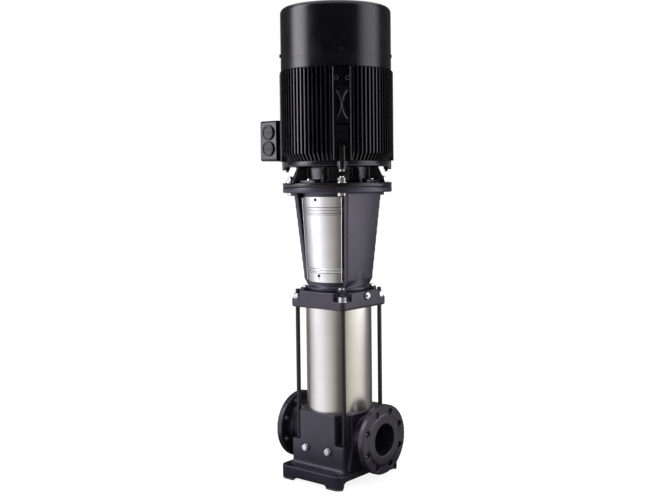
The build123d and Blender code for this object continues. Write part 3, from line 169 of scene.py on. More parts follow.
def plated(name, colour, roughness, edge, tarnish=0.75):
    """Plated or machined steel with small tool marks and a little tarnish."""
    metal = Finish(name, colour, metallic=1.0, roughness=roughness)
    marks = metal.noise(0.0012, detail=3.0)
    clouds = metal.noise(0.009, detail=3.0)
    dull = tuple(tarnish * c for c in colour)
    metal.into("Base Color", metal.blend(metal.between(clouds, 0.0, 1.0), colour, dull))
    metal.into("Roughness", metal.between(marks, roughness - 0.05, roughness + 0.1))
    metal.relief((marks, 0.0001, 0.25), edge=edge)
    return metal.material


def moulded(name, colour, roughness, edge):
    """Moulded rubber or plastic with a fine skin."""
    plastic = Finish(name, colour, roughness=roughness)
    skin = plastic.noise(0.0009, detail=3.0)
    plastic.into("Roughness", plastic.between(skin, roughness - 0.06, roughness + 0.08))
    plastic.relief((skin, 0.0001, 0.3), edge=edge)
    return plastic.material


IRON_BLACK, IRON_WORN = (0.0060, 0.0053, 0.0090), (0.0120, 0.0107, 0.0175)
SATIN_BLACK, SATIN_DUSTY = (0.0012, 0.0011, 0.0018), (0.0024, 0.0022, 0.0034)

finishes = {
    "black_casting": painted_casting("black_enamel_on_iron", IRON_BLACK, IRON_WORN, 0.0022),
    "black_paint": satin_paint("satin_black_paint", SATIN_BLACK, SATIN_DUSTY, 0.0012),
    "stainless": brushed_steel("rolled_stainless", (0.70, 0.68, 0.66), 0.3, (10, 10, 2600)),
    "bright_sheet": brushed_steel("polished_sheet", (0.78, 0.78, 0.79), 0.26, (2200, 2200, 12)),
    "zinc": plated("zinc_plating", (0.86, 0.86, 0.88), 0.24, 0.0004, tarnish=0.88),
    "black_steel": plated("black_oxide_steel", (0.06, 0.06, 0.065), 0.4, 0.0006),
    "machined_steel": plated("turned_steel", (0.62, 0.61, 0.60), 0.28, 0.0006),
    "laminations": plated("lamination_steel", (0.35, 0.35, 0.36), 0.45, 0.0),
    "copper": plated("enamelled_copper", (0.72, 0.33, 0.14), 0.35, 0.0),
    "rubber": moulded("black_rubber", (0.012, 0.012, 0.012), 0.7, 0.0004),
    "black_plastic": moulded("black_plastic", (0.010, 0.010, 0.012), 0.42, 0.0008),
    "seal_ceramic": moulded("seal_ceramic", (0.62, 0.60, 0.55), 0.35, 0.0004),
    "brass": plated("brass", (0.80, 0.60, 0.28), 0.28, 0.0006),
}


def paint_node(node, finish):
    mesh = nodes[node].data
    mesh.materials.clear()
    mesh.materials.append(finishes[finish])


for part in frame["record"]["subparts"]:
    paint_node(part["node"], part["material_slot"])


# ------------------------------------------------------------------ making pieces


def new_object(name, data):
    made = bpy.data.objects.new(name, data)
    bpy.context.scene.collection.objects.link(made)
    return made


def dress(name, mesh, finish, *replaced, body="pump_frame", smooth_below=22):
    """Makes a finished mesh into a piece that rides on a body and hides the CAD nodes it stands for."""
    mesh.materials.clear()
    mesh.materials.append(finishes[finish])
    mesh.set_sharp_from_angle(angle=math.radians(smooth_below))
    piece = new_object(name, mesh)
    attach(piece, body)
    if replaced:
        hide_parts(*replaced)
    return piece


def smoothed(mesh):
    mesh.polygons.foreach_set("use_smooth", [True] * len(mesh.polygons))
    return mesh


def settled(piece):
    """The plain mesh of an object with its modifiers worked out; the object goes."""
    seen = piece.evaluated_get(bpy.context.evaluated_depsgraph_get())
    mesh = bpy.data.meshes.new_from_object(seen)
    piece.modifiers.clear()
    bpy.data.objects.remove(piece)
    return smoothed(mesh)


def whole_copy(node):
    """A copy of a CAD node's mesh with its loose triangles joined."""
    mesh = nodes[node].data.copy()
    shape = bmesh.new()
    shape.from_mesh(mesh)
    bmesh.ops.remove_doubles(shape, verts=shape.verts, dist=1e-6)
    shape.to_mesh(mesh)
    shape.free()
    return mesh


def cast(node, finish, grain, rounding, most):
    """A casting's skin: the CAD form with every edge and corner rounded as a mould leaves it."""
    piece = new_object("blank", whole_copy(node))
    skin = piece.modifiers.new("skin", "REMESH")
    skin.mode, skin.voxel_size = "VOXEL", grain
    soft = piece.modifiers.new("soft", "SMOOTH")
    soft.factor, soft.iterations = 0.5, rounding
    mesh = settled(piece)
    mesh.calc_loop_triangles()
    count = len(mesh.loop_triangles)
    if count > most:
        piece = new_object("blank", mesh)
        piece.modifiers.new("lean", "DECIMATE").ratio = most / count
        mesh = settled(piece)
    return dress(node + "_skin", mesh, finish, node, smooth_below=60)


def round_row(radius, height, sides, start=0.0):
    """Points on a circle about Z, turned by a share of one side."""
    return [(radius * math.cos(math.tau * (i + start) / sides),
             radius * math.sin(math.tau * (i + start) / sides), height) for i in range(sides)]


def stitched(rows, capped=False):
    """A shape with faces between each row of points and the next; a row of one point is a tip."""
    mesh = bmesh.new()
    sides = max(map(len, rows))
    made = {}
    for row in rows:
        if id(row) not in made:
            made[id(row)] = [mesh.verts.new(point) for point in row]
    rows = [made[id(row)] for row in rows]
    for first, second in zip(rows, rows[1:]):
        for i in range(sides):
            j = (i + 1) % sides
            corners = (first[i % len(first)], first[j % len(first)],
                       second[j % len(second)], second[i % len(second)])
            unique = list(dict.fromkeys(corners))
            if len(unique) > 2:
                mesh.faces.new(unique)
    if capped:
        mesh.faces.new(rows[0][::-1])
        mesh.faces.new(rows[-1])
    return mesh


def lathe(points, sides=48):
    """A turned shape about Z from (radius, height) points, closed where the radius is nought."""
    return stitched([round_row(radius, height, sides if radius else 1) for radius, height in points])


HEX_FACE = 0.95  # radius of a hexagon's flat end face, as a share of half its width across flats
HEX_CHAMFER, HEX_BORE_EDGE = math.radians(28), 0.0006


def hexagon(flats, low, high, bore=0.0, sides=48):
    """A hexagon with both ends chamfered round, as a nut or a bolt head has, with or without a bore."""
    half = flats / 2
    face = HEX_FACE * half

    def outline(height, way):
        """The hexagon's edge, set back from its end face by more towards the corners."""
        row = []
        for i in range(sides):
            turn = math.tau * (i + 0.5) / sides
            side = (turn + math.pi / 6) % (math.pi / 3) - math.pi / 6
            reach = half / math.cos(side)
            set_back = (reach - face) * math.tan(HEX_CHAMFER)
            row.append((reach * math.cos(turn), reach * math.sin(turn), height + way * set_back))
        return row

    def circle(radius, height):
        return round_row(radius, height, sides, 0.5)

    rows = [circle(face, low), outline(low, 1), outline(high, -1), circle(face, high)]
    if not bore:
        return stitched(rows, capped=True)
    inside = circle(bore, low)
    rows += [circle(bore + HEX_BORE_EDGE, high), circle(bore, high - HEX_BORE_EDGE)]
    return stitched([inside, *rows, inside])


# shares of a thread's pitch: its core and its foot below the radius, the ridge's rise and half width
CORE_BELOW, FOOT_BELOW, RIDGE_RISE, RIDGE_HALF = 0.3, 0.45, 0.6, 0.42


def thread(radius, pitch, low, high, sides=24):
    """A helical ridge that stands on a bolt's core, tapering into it at both ends."""
    mesh, rows = bmesh.new(), []
    steps = int((high - low) / pitch * sides)
    foot, half = radius - FOOT_BELOW * pitch, RIDGE_HALF * pitch
    for i in range(steps + 1):
        turn = math.tau * i / sides
        height = low + pitch * i / sides
        share = min(i, steps - i, sides // 2) / (sides // 2)
        crest = radius - CORE_BELOW * pitch + RIDGE_RISE * pitch * share
        rows.append([mesh.verts.new((reach * math.cos(turn), reach * math.sin(turn), height + rise))
                     for reach, rise in ((foot, -half), (crest, 0.0), (foot, half))])
    for first, second in zip(rows, rows[1:]):
        for i in range(3):
            j = (i + 1) % 3
            mesh.faces.new((first[i], second[i], second[j], first[j]))
    mesh.faces.new(rows[0])
    mesh.faces.new(rows[-1][::-1])
    return mesh


TIP, RUN_OUT = 0.0012, 0.001


def shank(radius, low, high, pitch, thread_low=None, sides=32):
    """A bolt's bar with a chamfered tip, threaded all along or from thread_low up."""
    core = radius - CORE_BELOW * pitch
    if thread_low is None:
        thread_low, foot = low, [(core, low)]
    else:
        foot = [(radius, low), (radius, thread_low), (core, thread_low + RUN_OUT)]
    bar = lathe([(0, low), *foot, (core, high - TIP), (core - TIP, high), (0, high)], sides)
    return bar, thread(core, pitch, thread_low + pitch / 2, high - TIP - pitch / 2)


def joined(*shapes):
    """One mesh of several bmesh shapes, its faces turned outwards."""
    mesh = bpy.data.meshes.new("piece")
    whole = bmesh.new()
    for shape in shapes:
        bmesh.ops.recalc_face_normals(shape, faces=shape.faces)
        shape.to_mesh(mesh)
        whole.from_mesh(mesh)
        shape.free()
    whole.to_mesh(mesh)
    whole.free()
    return smoothed(mesh)


def turned_to(mesh, axis, at):
    """The mesh with its Z laid along an axis, then moved."""
    turn = Vector(axis).to_track_quat("Z", "Y").to_matrix().to_4x4()
    mesh.transform(Matrix.Translation(at) @ turn)
    return mesh


def heights(node):
    low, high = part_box(node)
    return low[2], high[2]


# ------------------------------------------------------------------ repeats


def ring_tree():
    """A tree that copies an object on a circle about the shaft line, each copy facing outwards."""
    tree = bpy.data.node_groups.new("ring_of_copies", "GeometryNodeTree")
    for name, kind in (("Geometry", "NodeSocketGeometry"), ("Piece", "NodeSocketObject"),
                       ("Count", "NodeSocketInt"), ("Radius", "NodeSocketFloat"),
                       ("First Angle", "NodeSocketFloat"), ("Finish", "NodeSocketMaterial")):
        tree.interface.new_socket(name, in_out="INPUT", socket_type=kind)
    tree.interface.new_socket("Geometry", in_out="OUTPUT", socket_type="NodeSocketGeometry")
    make, link = tree.nodes.new, tree.links.new
    given, out = make("NodeGroupInput"), make("NodeGroupOutput")

    # a circle of points, turned to its first angle
    circle = make("GeometryNodeMeshCircle")
    turn = make("ShaderNodeCombineXYZ")
    place = make("GeometryNodeTransform")
    link(given.outputs["Count"], circle.inputs["Vertices"])
    link(given.outputs["Radius"], circle.inputs["Radius"])
    link(given.outputs["First Angle"], turn.inputs["Z"])
    link(circle.outputs[0], place.inputs["Geometry"])
    link(turn.outputs[0], place.inputs["Rotation"])

    # a copy on each point, its X away from the shaft line
    piece = make("GeometryNodeObjectInfo")
    where = make("GeometryNodeInputPosition")
    face_out = make("FunctionNodeAlignRotationToVector")
    face_out.axis, face_out.pivot_axis = "X", "Z"
    copies = make("GeometryNodeInstanceOnPoints")
    link(given.outputs["Piece"], piece.inputs["Object"])
    link(where.outputs[0], face_out.inputs["Vector"])
    link(place.outputs[0], copies.inputs["Points"])
    link(piece.outputs["Geometry"], copies.inputs["Instance"])
    link(face_out.outputs[0], copies.inputs["Rotation"])

    real = make("GeometryNodeRealizeInstances")
    paint = make("GeometryNodeSetMaterial")
    link(copies.outputs[0], real.inputs[0])
    link(real.outputs[0], paint.inputs[0])
    link(given.outputs["Finish"], paint.inputs["Material"])
    link(paint.outputs[0], out.inputs[0])
    return tree


RING = ring_tree()
COPIES = 4
ON_THE_SPOT = 0.0001  # a ring so small that the copies only turn about the shaft line


def ring_mesh(mesh, finish, radius, first=45.0):
    """A plain mesh of four copies round the shaft line, the first one at an angle in degrees."""
    source = new_object("blank", mesh)
    host = new_object("blank", bpy.data.meshes.new("host"))
    work = host.modifiers.new("repeat", "NODES")
    work.node_group = RING
    values = {"Piece": source, "Count": COPIES, "Radius": radius,
              "First Angle": math.radians(first), "Finish": finishes[finish]}
    for socket in RING.interface.items_tree:
        if socket.in_out == "INPUT" and socket.name in values:
            work[socket.identifier] = values[socket.name]
    made = settled(host)
    bpy.data.objects.remove(source)
    return made


def ring_of(name, mesh, finish, node, radius, first=45.0):
    return dress(name, ring_mesh(mesh, finish, radius, first=first), finish, node)


def placed(name, mesh, finish, node, places):
    """Copies of a mesh at given places, each with the way its Z points."""
    whole = bmesh.new()
    for at, axis in places:
        copy = mesh.copy()
        whole.from_mesh(turned_to(copy, axis, at))
        bpy.data.meshes.remove(copy)
    made = bpy.data.meshes.new(name)
    whole.to_mesh(made)
    whole.free()
    return dress(name, made, finish, node)


# ------------------------------------------------------------------ castings

# each with its voxel in millimetres, its rounds of smoothing and the most triangles it may have
for node, finish, voxel, rounding, most in (
        ("base_casting", "black_casting", 2.3, 3, 170000),
        ("pump_head", "black_casting", 1.7, 2, 90000),
        ("motor_stool", "black_casting", 2.2, 3, 120000),
        ("drive_end_shield", "black_paint", 2.2, 2, 120000)):
    cast(node, finish, voxel * MM, rounding, most)

# ------------------------------------------------------------------ trim of the motor's corner strips

# out from the shaft line, up from the housing's foot, and across the strip
RIB_FOOT, RIB_CROWN, RIB_HALF, RIB_Y = 176.4 * MM, 179.4 * MM, 2.2 * MM, 26.5 * MM
RIB_LOW_END, RIB_HIGH_END = 1 * MM, 4 * MM  # short of the housing's ends
POST_FOOT, POST_CROWN, POST_LOW, POST_HIGH = 172 * MM, 179.2 * MM, 125 * MM, 211 * MM
POST_HALF, POST_CURVE = 4.5 * MM, 60 * MM  # half width at the waist, radius of its sides
STRAP_FOOT, STRAP_CROWN, STRAP_HALF = 173.6 * MM, 176.6 * MM, 20 * MM
STRAP_Z, STRAP_HALF_H = (119 * MM, 217 * MM), 4 * MM
EYE_FACE, EYE_Y, EYE_Z, EYE_R, EYE_RIM = 177.8 * MM, 18 * MM, 248 * MM, 6.2 * MM, 1.7 * MM
ARCH_LIFT = 0.3 * MM  # height of a bar's straight sides under its arch


def crowned(half, low, high, foot, crown, steps=20, arc=10):
    """A bar along Z whose front is a low arch; half gives its half width at each height."""
    sections = []
    for step in range(steps + 1):
        z = low + (high - low) * step / steps
        width = half(z)
        turns = [math.pi * i / arc for i in range(arc + 1)]
        arch = [(foot + ARCH_LIFT + (crown - foot) * math.sin(turn), -width * math.cos(turn), z)
                for turn in turns]
        sections.append([(foot, -width, z), *arch, (foot, width, z)])
    return stitched(sections, capped=True)


def eye_rim(y, z, sides=28, round_about=10):
    """A round rim about an eye that faces +X."""
    rows = []
    for i in range(sides):
        turn = math.tau * i / sides
        row = []
        for j in range(round_about):
            lean = math.tau * j / round_about
            reach = EYE_R + EYE_RIM * math.cos(lean)
            row.append((EYE_FACE + EYE_RIM * math.sin(lean), y + reach * math.cos(turn),
                        z + reach * math.sin(turn)))
        rows.append(row)
    return stitched(rows + rows[:1])


def corner_trim():
    """What stands on one corner strip: two ribs, a waisted post between two straps, two eyes."""
    strip_low, strip_high = heights("stator_housing")
    post_low, post_high = strip_low + POST_LOW, strip_low + POST_HIGH

    def waist(z):
        off = z - (post_low + post_high) / 2
        return POST_HALF + POST_CURVE - math.sqrt(POST_CURVE ** 2 - off ** 2)

    shapes = []
    for y in (-RIB_Y, RIB_Y):
        rib = crowned(lambda z: RIB_HALF, strip_low + RIB_LOW_END, strip_high - RIB_HIGH_END,
                      RIB_FOOT, RIB_CROWN)
        bmesh.ops.translate(rib, vec=(0, y, 0), verts=rib.verts)
        shapes.append(rib)
    shapes.append(crowned(waist, post_low, post_high, POST_FOOT, POST_CROWN))
    for above in STRAP_Z:
        middle = strip_low + above
        shapes.append(crowned(lambda z: STRAP_HALF, middle - STRAP_HALF_H, middle + STRAP_HALF_H,
                              STRAP_FOOT, STRAP_CROWN, steps=2))
    for y in (-EYE_Y, EYE_Y):
        shapes.append(eye_rim(y, strip_low + EYE_Z))
    return joined(*shapes)


strips = ring_mesh(corner_trim(), "black_paint", ON_THE_SPOT)
dress("corner_strip_trim", strips, "black_paint")

# ------------------------------------------------------------------ fasteners

# millimetres: across flats, height of head, radius of shank, pitch
M6 = {"flats": 10, "head": 4, "radius": 3, "pitch": 1}
M10 = {"flats": 17, "head": 6.4, "radius": 5, "pitch": 1.5}
M10_NARROW = {"flats": 16, "head": 6.5, "radius": 5, "pitch": 1.5}
M16 = {"flats": 24, "head": 10, "radius": 8, "pitch": 2}
BITE = 0.2  # how far a shank starts inside its head
PAN_R, PAN_H, PAN_SHANK_R, PAN_PITCH = 4.5, 3, 2.5, 0.8
# outline of a round head with a cross cut in it, as shares of its radius and height
PAN_OUTLINE = ((0, 0), (1, 0), (1, 0.45), (0.86, 0.8), (0.6, 0.97), (0.36, 1), (0.2, 0.55), (0, 0.5))
WASHER_EDGE = 0.0005
NUT_FLATS = 24 * MM
DIAGONAL = math.sqrt(2)


def washer(outer, bore, low, high):
    edge = WASHER_EDGE
    return lathe([(bore, low), (outer - edge, low), (outer, low + edge), (outer, high - edge),
                  (outer - edge, high), (bore + edge, high), (bore, high - edge), (bore, low)])


def hexagon_screw(seat, length, flats, head, radius, pitch):
    """A screw whose head stands on a seat and whose shank goes down from it."""
    return joined(hexagon(flats * MM, seat, seat + head * MM),
                  *shank(radius * MM, seat - length * MM, seat + BITE * MM, pitch * MM))


def hexagon_bolt(low, high, flats, head, radius, pitch, thread_low=None):
    """A bolt that stands on its head."""
    return joined(hexagon(flats * MM, low, low + head * MM),
                  *shank(radius * MM, low + (head - BITE) * MM, high, pitch * MM, thread_low))


def pan_screw(length):
    """A round-headed screw standing up from nought."""
    dome = lathe([(r * PAN_R * MM, h * PAN_H * MM) for r, h in PAN_OUTLINE], 24)
    return joined(dome, *shank(PAN_SHANK_R * MM, -length * MM, BITE * MM, PAN_PITCH * MM, sides=16))


# staybolts between the base and the head
STAY_AT, STAY_R, STAY_PITCH, STAY_NUT_BORE = 93.9 * DIAGONAL * MM, 7 * MM, 2 * MM, 7.1 * MM
STAY_THREAD_SHOWS = 0.004  # under the nut
STAY_WASHER_R, STAY_WASHER_BORE = 15 * MM, 7.3 * MM
nut_low, nut_high = heights("staybolt_nuts")
ring_of("staybolt_bars",
        joined(*shank(STAY_R, *heights("staybolts"), STAY_PITCH, nut_low - STAY_THREAD_SHOWS)),
        "black_steel", "staybolts", STAY_AT)
ring_of("staybolt_hexagon_nuts", joined(hexagon(NUT_FLATS, nut_low, nut_high, bore=STAY_NUT_BORE)),
        "zinc", "staybolt_nuts", STAY_AT)
ring_of("staybolt_round_washers",
        joined(washer(STAY_WASHER_R, STAY_WASHER_BORE, *heights("staybolt_washers"))),
        "zinc", "staybolt_washers", STAY_AT)

# stool to head
STOOL_BOLT_AT, STOOL_BOLT_LENGTH = 76 * DIAGONAL * MM, 25
stool_seat = heights("stool_bolts")[1] - M10["head"] * MM
ring_of("stool_hexagon_bolts", hexagon_screw(stool_seat, STOOL_BOLT_LENGTH, **M10),
        "zinc", "stool_bolts", STOOL_BOLT_AT)

# motor flange to stool: head under the flange, nut and washer on top
FLANGE_AT, FLANGE_NUT_BORE, FLANGE_THREAD_FROM = 150 * MM, 8.1 * MM, 38 * MM
FLANGE_WASHER_R, FLANGE_WASHER_BORE = 15 * MM, 8.4 * MM
bolt_low, bolt_high = heights("flange_bolts")
ring_of("flange_hexagon_bolts",
        hexagon_bolt(bolt_low, bolt_high, **M16, thread_low=bolt_low + FLANGE_THREAD_FROM),
        "zinc", "flange_bolts", FLANGE_AT)
ring_of("flange_hexagon_nuts",
        joined(hexagon(NUT_FLATS, *heights("flange_nuts"), bore=FLANGE_NUT_BORE)),
        "zinc", "flange_nuts", FLANGE_AT)
ring_of("flange_round_washers",
        joined(washer(FLANGE_WASHER_R, FLANGE_WASHER_BORE, *heights("flange_washers"))),
        "zinc", "flange_washers", FLANGE_AT)

# drive-end shield: screws up through its lugs, and small ones down into its bosses
LUG_SCREW_AT, BOSS_SCREW_AT, BOSS_SCREW_LENGTH = 163 * MM, 138 * MM, 10
ring_of("shield_hexagon_screws", hexagon_bolt(*heights("shield_screws"), **M10_NARROW),
        "zinc", "shield_screws", LUG_SCREW_AT)
boss_seat = heights("boss_screws")[1] - M6["head"] * MM
ring_of("boss_hexagon_screws", hexagon_screw(boss_seat, BOSS_SCREW_LENGTH, **M6),
        "zinc", "boss_screws", BOSS_SCREW_AT, first=0.0)

# fan cover: four screws that point at the shaft line
COVER_SCREW_AT, COVER_SCREW_LENGTH = 176 * MM, 16
cover_screw = turned_to(hexagon_screw(0.0, COVER_SCREW_LENGTH, **M6), (1, 0, 0),
                        (0, 0, sum(heights("cover_screws")) / 2))
ring_of("cover_hexagon_screws", cover_screw, "black_steel", "cover_screws", COVER_SCREW_AT)

# coupling guards: round-headed screws in the keyholes, low and high on both sides
GUARD_LOW_AT, GUARD_HIGH_AT, GUARD_SCREW_LENGTH = 96.57 * MM, 109.9 * MM, 10
guard_low, guard_high = heights("guard_screws")
guard_rows = ((GUARD_LOW_AT, guard_low + PAN_R * MM), (GUARD_HIGH_AT, guard_high - PAN_R * MM))
placed("guard_round_screws", pan_screw(GUARD_SCREW_LENGTH), "black_steel", "guard_screws",
       [((0, side * reach, z), (0, side, 0)) for side in (-1, 1) for reach, z in guard_rows])

# drain plugs: a hexagon on a round collar, screwed into the casting's face
DRAIN_FLATS, DRAIN_HEX_FROM, DRAIN_THREAD_R, DRAIN_LENGTH = 19 * MM, 1.4 * MM, 9.8 * MM, 20 * MM
DRAIN_PITCH, DRAIN_WASHER_R, DRAIN_WASHER_BORE = 1.5 * MM, 13 * MM, 10.1 * MM
DRAIN_COLLAR = ((0, 0), (11, 0), (11.4, 0.6), (11, 1.6), (0, 1.6))  # radius and height in millimetres
plug_low, plug_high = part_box("drain_plugs")
(_, washer_out, _), (washer_end, washer_in, _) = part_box("drain_washers")
drain_z, drain_x = (plug_low[2] + plug_high[2]) / 2, washer_end - DRAIN_WASHER_R
drain_plug = joined(lathe([(r * MM, h * MM) for r, h in DRAIN_COLLAR]),
                    hexagon(DRAIN_FLATS, DRAIN_HEX_FROM, washer_out - plug_low[1]),
                    *shank(DRAIN_THREAD_R, -DRAIN_LENGTH, BITE * MM, DRAIN_PITCH))
placed("drain_hexagon_plugs", drain_plug, "zinc", "drain_plugs",
       [((x, washer_out, drain_z), (0, -1, 0)) for x in (-drain_x, drain_x)])
placed("drain_round_washers",
       joined(washer(DRAIN_WASHER_R, DRAIN_WASHER_BORE, 0.0, washer_in - washer_out)),
       "rubber", "drain_washers", [((x, washer_in, drain_z), (0, -1, 0)) for x in (-drain_x, drain_x)])

# blanking plugs in the terminal box: a raised rim, a dished face and a moulded cross bar
CAP_R, CAP_H = 25 * MM, 7 * MM
CAP_BAR, CAP_BAR_Z, CAP_BAR_EDGE = (30 * MM, 5 * MM, 3 * MM), 4.8 * MM, 0.8 * MM
# radius and height in millimetres, from the shank's end to the middle of the face
CAP_OUTLINE = ((0, -11), (19, -11), (19.6, -10), (19.6, 0), (25, 0), (25, 4.6), (24.2, 6.2), (22.6, 7),
               (20.2, 7), (19.2, 4.4), (0, 4))
cap_low, cap_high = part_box("blanking_plugs")
cap_x = (cap_low[0] + cap_high[0]) / 2
bar = bmesh.new()
bmesh.ops.create_cube(bar, size=1.0,
                      matrix=Matrix.Translation((0, 0, CAP_BAR_Z)) @ Matrix.Diagonal((*CAP_BAR, 1)))
bmesh.ops.bevel(bar, geom=bar.edges[:], offset=CAP_BAR_EDGE, segments=2, affect="EDGES")
cap = joined(lathe([(r * MM, h * MM) for r, h in CAP_OUTLINE]), bar)
cap_heights = (cap_low[2] + CAP_R, cap_high[2] - CAP_R)
placed("blanking_plug_caps", cap, "black_plastic", "blanking_plugs",
       [((cap_x, cap_low[1] + CAP_H, z), (0, -1, 0)) for z in cap_heights])

# terminal lid: a screw at each corner
LID_SCREW_LENGTH = 22
lid_low, lid_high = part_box("lid_screws")
lid_y, lid_z = ((lid_low[axis] + PAN_R * MM, lid_high[axis] - PAN_R * MM) for axis in (1, 2))
placed("lid_round_screws", pan_screw(LID_SCREW_LENGTH), "zinc", "lid_screws",
       [((lid_low[0] + PAN_H * MM, y, z), (-1, 0, 0)) for y in lid_y for z in lid_z])

# ------------------------------------------------------------------ studio

VIEW_TURN = math.radians(39.52)  # the camera stands this far round from -Y towards +X
SCREEN_AT, SCREEN_LIES_FROM, SCREEN_LIES_AT = 1.45, 0.24, 0.003
# radius and height of the dark disc that paints a dark reflection into the low faces of the base
DARK_REFLECTION_R, DARK_REFLECTION_Z = 0.43, 0.006
FLOOR_REACH = 40.0
PLAIN, COOL, ROSE = (1.0, 1.0, 1.0), (0.98, 0.96, 1.02), (1.04, 0.97, 0.94)
BROWN, CREAM = (1.1, 0.95, 0.85), (1.0, 0.975, 0.88)


def empty_tree(owner):
    """The node tree of a material or a world, with nothing in it."""
    owner.use_nodes = True
    owner.node_tree.nodes.clear()
    return owner.node_tree


def staged(name, points, faces, material):
    """Makes an object of a mesh that isn't part of the pump."""
    mesh = bpy.data.meshes.new(name)
    mesh.from_pydata(points, [], faces)
    mesh.materials.append(material)
    made = new_object(name, mesh)
    return made


def only_reflected(made):
    made.visible_camera = made.visible_diffuse = made.visible_shadow = False
    made.visible_transmission = made.visible_volume_scatter = False


def surround(name, low, high, shades, sides=96):
    """A round screen about the pump that only reflections see: soft boxes, walls and a dark gap.

    Each shade is an angle from the camera's side towards its right, a grey and a tint. The first two
    close the circle behind the pump. A screen that starts at nought also lies on the floor.
    """
    lies = [(SCREEN_LIES_FROM, SCREEN_LIES_AT), (SCREEN_AT, SCREEN_LIES_AT)]
    rows = ([(SCREEN_AT, low)] if low else lies) + [(SCREEN_AT, high)]
    points = [point for radius, height in rows for point in round_row(radius, height, sides)]
    faces = [(row + (i + 1) % sides, row + i, row + sides + i, row + sides + (i + 1) % sides)
             for row in range(0, sides * (len(rows) - 1), sides) for i in range(sides)]
    material = bpy.data.materials.new(name)
    tree = empty_tree(material)
    make, link = tree.nodes.new, tree.links.new
    place, turn = make("ShaderNodeTexCoord"), make("ShaderNodeMapping")
    turn.inputs["Rotation"].default_value = (0, 0, math.pi / 2 - VIEW_TURN)
    sweep, ramp = make("ShaderNodeTexGradient"), make("ShaderNodeValToRGB")
    sweep.gradient_type = "RADIAL"
    glow, out = make("ShaderNodeEmission"), make("ShaderNodeOutputMaterial")
    link(place.outputs["Object"], turn.inputs["Vector"])
    link(turn.outputs[0], sweep.inputs["Vector"])
    link(sweep.outputs[1], ramp.inputs[0])
    link(ramp.outputs[0], glow.inputs["Color"])
    link(glow.outputs[0], out.inputs[0])
    stops = ramp.color_ramp.elements
    for index, (degrees, grey, tint) in enumerate(shades):
        spot = 0.5 + degrees / 360
        stop = stops[index] if index < 2 else stops.new(spot)
        stop.position, stop.color = spot, (*(grey * part for part in tint), 1)
    only_reflected(staged(name, points, faces, material))


def dark_cloth():
    """A dark disc under the pump that only reflections see: a painted dark reflection in the base's low
    faces, where the camera sees a pale floor.
    """
    sides = 64
    material = bpy.data.materials.new("dark_cloth")
    material.use_nodes = True
    shader = material.node_tree.nodes["Principled BSDF"]
    # this dark colour is a painted dark reflection: the disc only darkens what the base's low faces
    # reflect
    shader.inputs["Base Color"].default_value = (0.02, 0.02, 0.02, 1)
    shader.inputs["Roughness"].default_value = 0.9
    points = round_row(DARK_REFLECTION_R, DARK_REFLECTION_Z, sides)
    only_reflected(staged("dark_cloth", points, [tuple(range(sides))], material))


def white_where_seen(tree, surface, white):
    """Links white for what the camera, mirrors and glass see, and surface for everything else."""
    seen = tree.nodes.new("ShaderNodeLightPath")
    any_of = seen.outputs["Is Camera Ray"]
    for ray in ("Is Glossy Ray", "Is Transmission Ray"):
        most = tree.nodes.new("ShaderNodeMath")
        most.operation = "MAXIMUM"
        tree.links.new(any_of, most.inputs[0])
        tree.links.new(seen.outputs[ray], most.inputs[1])
        any_of = most.outputs[0]
    pick = tree.nodes.new("ShaderNodeMixShader")
    tree.links.new(any_of, pick.inputs[0])
    tree.links.new(surface, pick.inputs[1])
    tree.links.new(white, pick.inputs[2])
    return pick.outputs[0]


def studio_world():
    world = bpy.data.worlds.new("studio")
    tree = empty_tree(world)
    fill, white = tree.nodes.new("ShaderNodeBackground"), tree.nodes.new("ShaderNodeBackground")
    fill.inputs["Color"].default_value = (1.0, 0.985, 0.99, 1)
    fill.inputs["Strength"].default_value = 0.55
    white.inputs["Color"].default_value = (1, 1, 1, 1)
    out = tree.nodes.new("ShaderNodeOutputWorld")
    tree.links.new(white_where_seen(tree, fill.outputs[0], white.outputs[0]), out.inputs[0])
    bpy.context.scene.world = world


def pale_floor():
    """A pale floor that keeps the shadow under the pump.

    Most of its shade comes from its own white, and the rest from the light that falls on it.
    """
    material = bpy.data.materials.new("pale_floor")
    tree = empty_tree(material)
    matt, lit = tree.nodes.new("ShaderNodeBsdfDiffuse"), tree.nodes.new("ShaderNodeBsdfDiffuse")
    matt.inputs["Color"].default_value = (0.8, 0.8, 0.8, 1)
    lit.inputs["Color"].default_value = (0.3, 0.3, 0.3, 1)
    white = tree.nodes.new("ShaderNodeEmission")
    white.inputs["Strength"].default_value = 0.86
    both = tree.nodes.new("ShaderNodeAddShader")
    out = tree.nodes.new("ShaderNodeOutputMaterial")
    tree.links.new(lit.outputs[0], both.inputs[0])
    tree.links.new(white.outputs[0], both.inputs[1])
    tree.links.new(white_where_seen(tree, matt.outputs[0], both.outputs[0]), out.inputs[0])
    corners = [(x * FLOOR_REACH, y * FLOOR_REACH, 0) for x, y in ((-1, -1), (1, -1), (1, 1), (-1, 1))]
    staged("floor", corners, [(0, 1, 2, 3)], material)


def around_view(degrees, distance, height):
    """A point on the floor plan, turned from the camera's side of the pump towards its right."""
    turn = VIEW_TURN + math.radians(degrees)
    return Vector((distance * math.sin(turn), -distance * math.cos(turn), height))


def lamp(name, degrees, distance, height, width, tall, watts, aim=0.75):
    """A soft light that shines at the shaft line at a height, and that no reflection shows."""
    light = bpy.data.lights.new(name, "AREA")
    light.shape = "RECTANGLE"
    light.size, light.size_y = width, tall
    light.energy = watts
    made = new_object(name, light)
    made.location = around_view(degrees, distance, height)
    made.rotation_euler = (Vector((0, 0, aim)) - made.location).to_track_quat("-Z", "Y").to_euler()
    made.visible_glossy = False


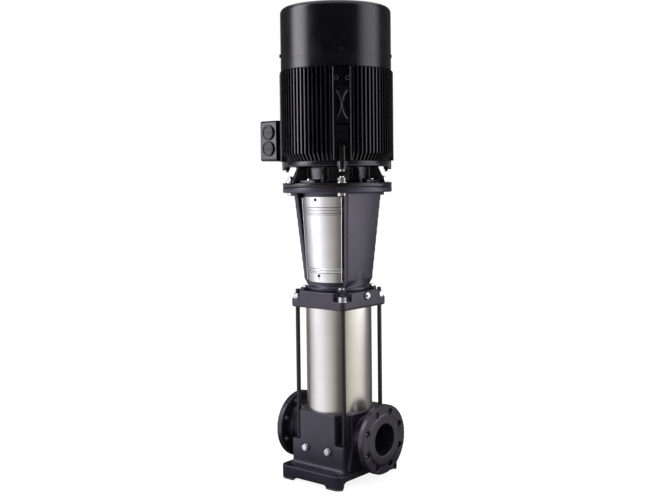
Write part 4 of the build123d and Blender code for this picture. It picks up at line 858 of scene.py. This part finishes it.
def camera():
    data = bpy.data.cameras.new("camera")
    data.sensor_width, data.lens = 36.0, 50.9
    data.shift_x, data.shift_y = -0.0065, -0.025
    distance, height, tilt, roll = 3.040, 0.9623, math.radians(-3.33), math.radians(-0.666)
    level = Vector((-math.sin(VIEW_TURN), math.cos(VIEW_TURN), 0))
    forward = level * math.cos(tilt) + Vector((0, 0, math.sin(tilt)))
    right = Vector((math.cos(VIEW_TURN), math.sin(VIEW_TURN), 0))
    up = right.cross(forward)
    x = right * math.cos(roll) + up * math.sin(roll)
    y = up * math.cos(roll) - right * math.sin(roll)
    made = new_object("camera", data)
    turn = Matrix((x, y, -forward)).transposed().to_4x4()
    made.matrix_world = Matrix.Translation(around_view(0, distance, height)) @ turn
    bpy.context.scene.camera = made


studio_world()
pale_floor()
camera()
# a dark disc that paints a dark reflection into the base's low faces
dark_cloth()
surround("reflected_studio_high", 0.96, 2.6, (
    (-180, 0.08, PLAIN), (180, 0.08, PLAIN), (-100, 0.08, PLAIN), (-85, 5.4, COOL),
    (-68, 5.4, COOL), (-54, 0.02, PLAIN), (42, 0.02, PLAIN), (62, 2.3, COOL),
    (83, 2.3, COOL), (97, 0.08, PLAIN)))
surround("reflected_studio_middle", 0.36, 0.96, (
    (-180, 0.2, PLAIN), (180, 0.2, PLAIN), (-146, 0.35, PLAIN), (-118, 0.7, COOL),
    (-92, 1.6, COOL), (-76, 1.6, COOL), (-60, 1.15, COOL), (-43, 0.74, PLAIN),
    (-25, 0.5, ROSE), (-8, 0.36, ROSE), (4, 0.14, BROWN), (14, 0.1, BROWN),
    (30, 0.8, CREAM), (84, 2.6, COOL), (96, 2.6, COOL), (107, 0.1, PLAIN)))
surround("reflected_studio_low", 0, 0.36, (
    (-180, 0.1, PLAIN), (180, 0.1, PLAIN), (-124, 0.3, PLAIN), (-106, 0.65, PLAIN),
    (-84, 1.3, COOL), (-60, 1.3, COOL), (-42, 0.9, PLAIN), (-25, 0.66, ROSE),
    (-10, 0.2, ROSE), (-3, 0.06, BROWN), (14, 0.05, BROWN), (24, 0.6, CREAM),
    (42, 0.85, CREAM), (78, 1.0, CREAM), (103, 0.2, PLAIN), (140, 0.07, PLAIN)))
lamp("left_softbox", -70, 2.6, 1.2, width=0.9, tall=2.4, watts=50)
lamp("right_softbox", 62, 2.8, 1.2, width=0.8, tall=2.2, watts=34)
lamp("top_softbox", 10, 1.4, 3.0, width=1.6, tall=1.6, watts=30)
bpy.context.scene.view_settings.view_transform = "Standard"
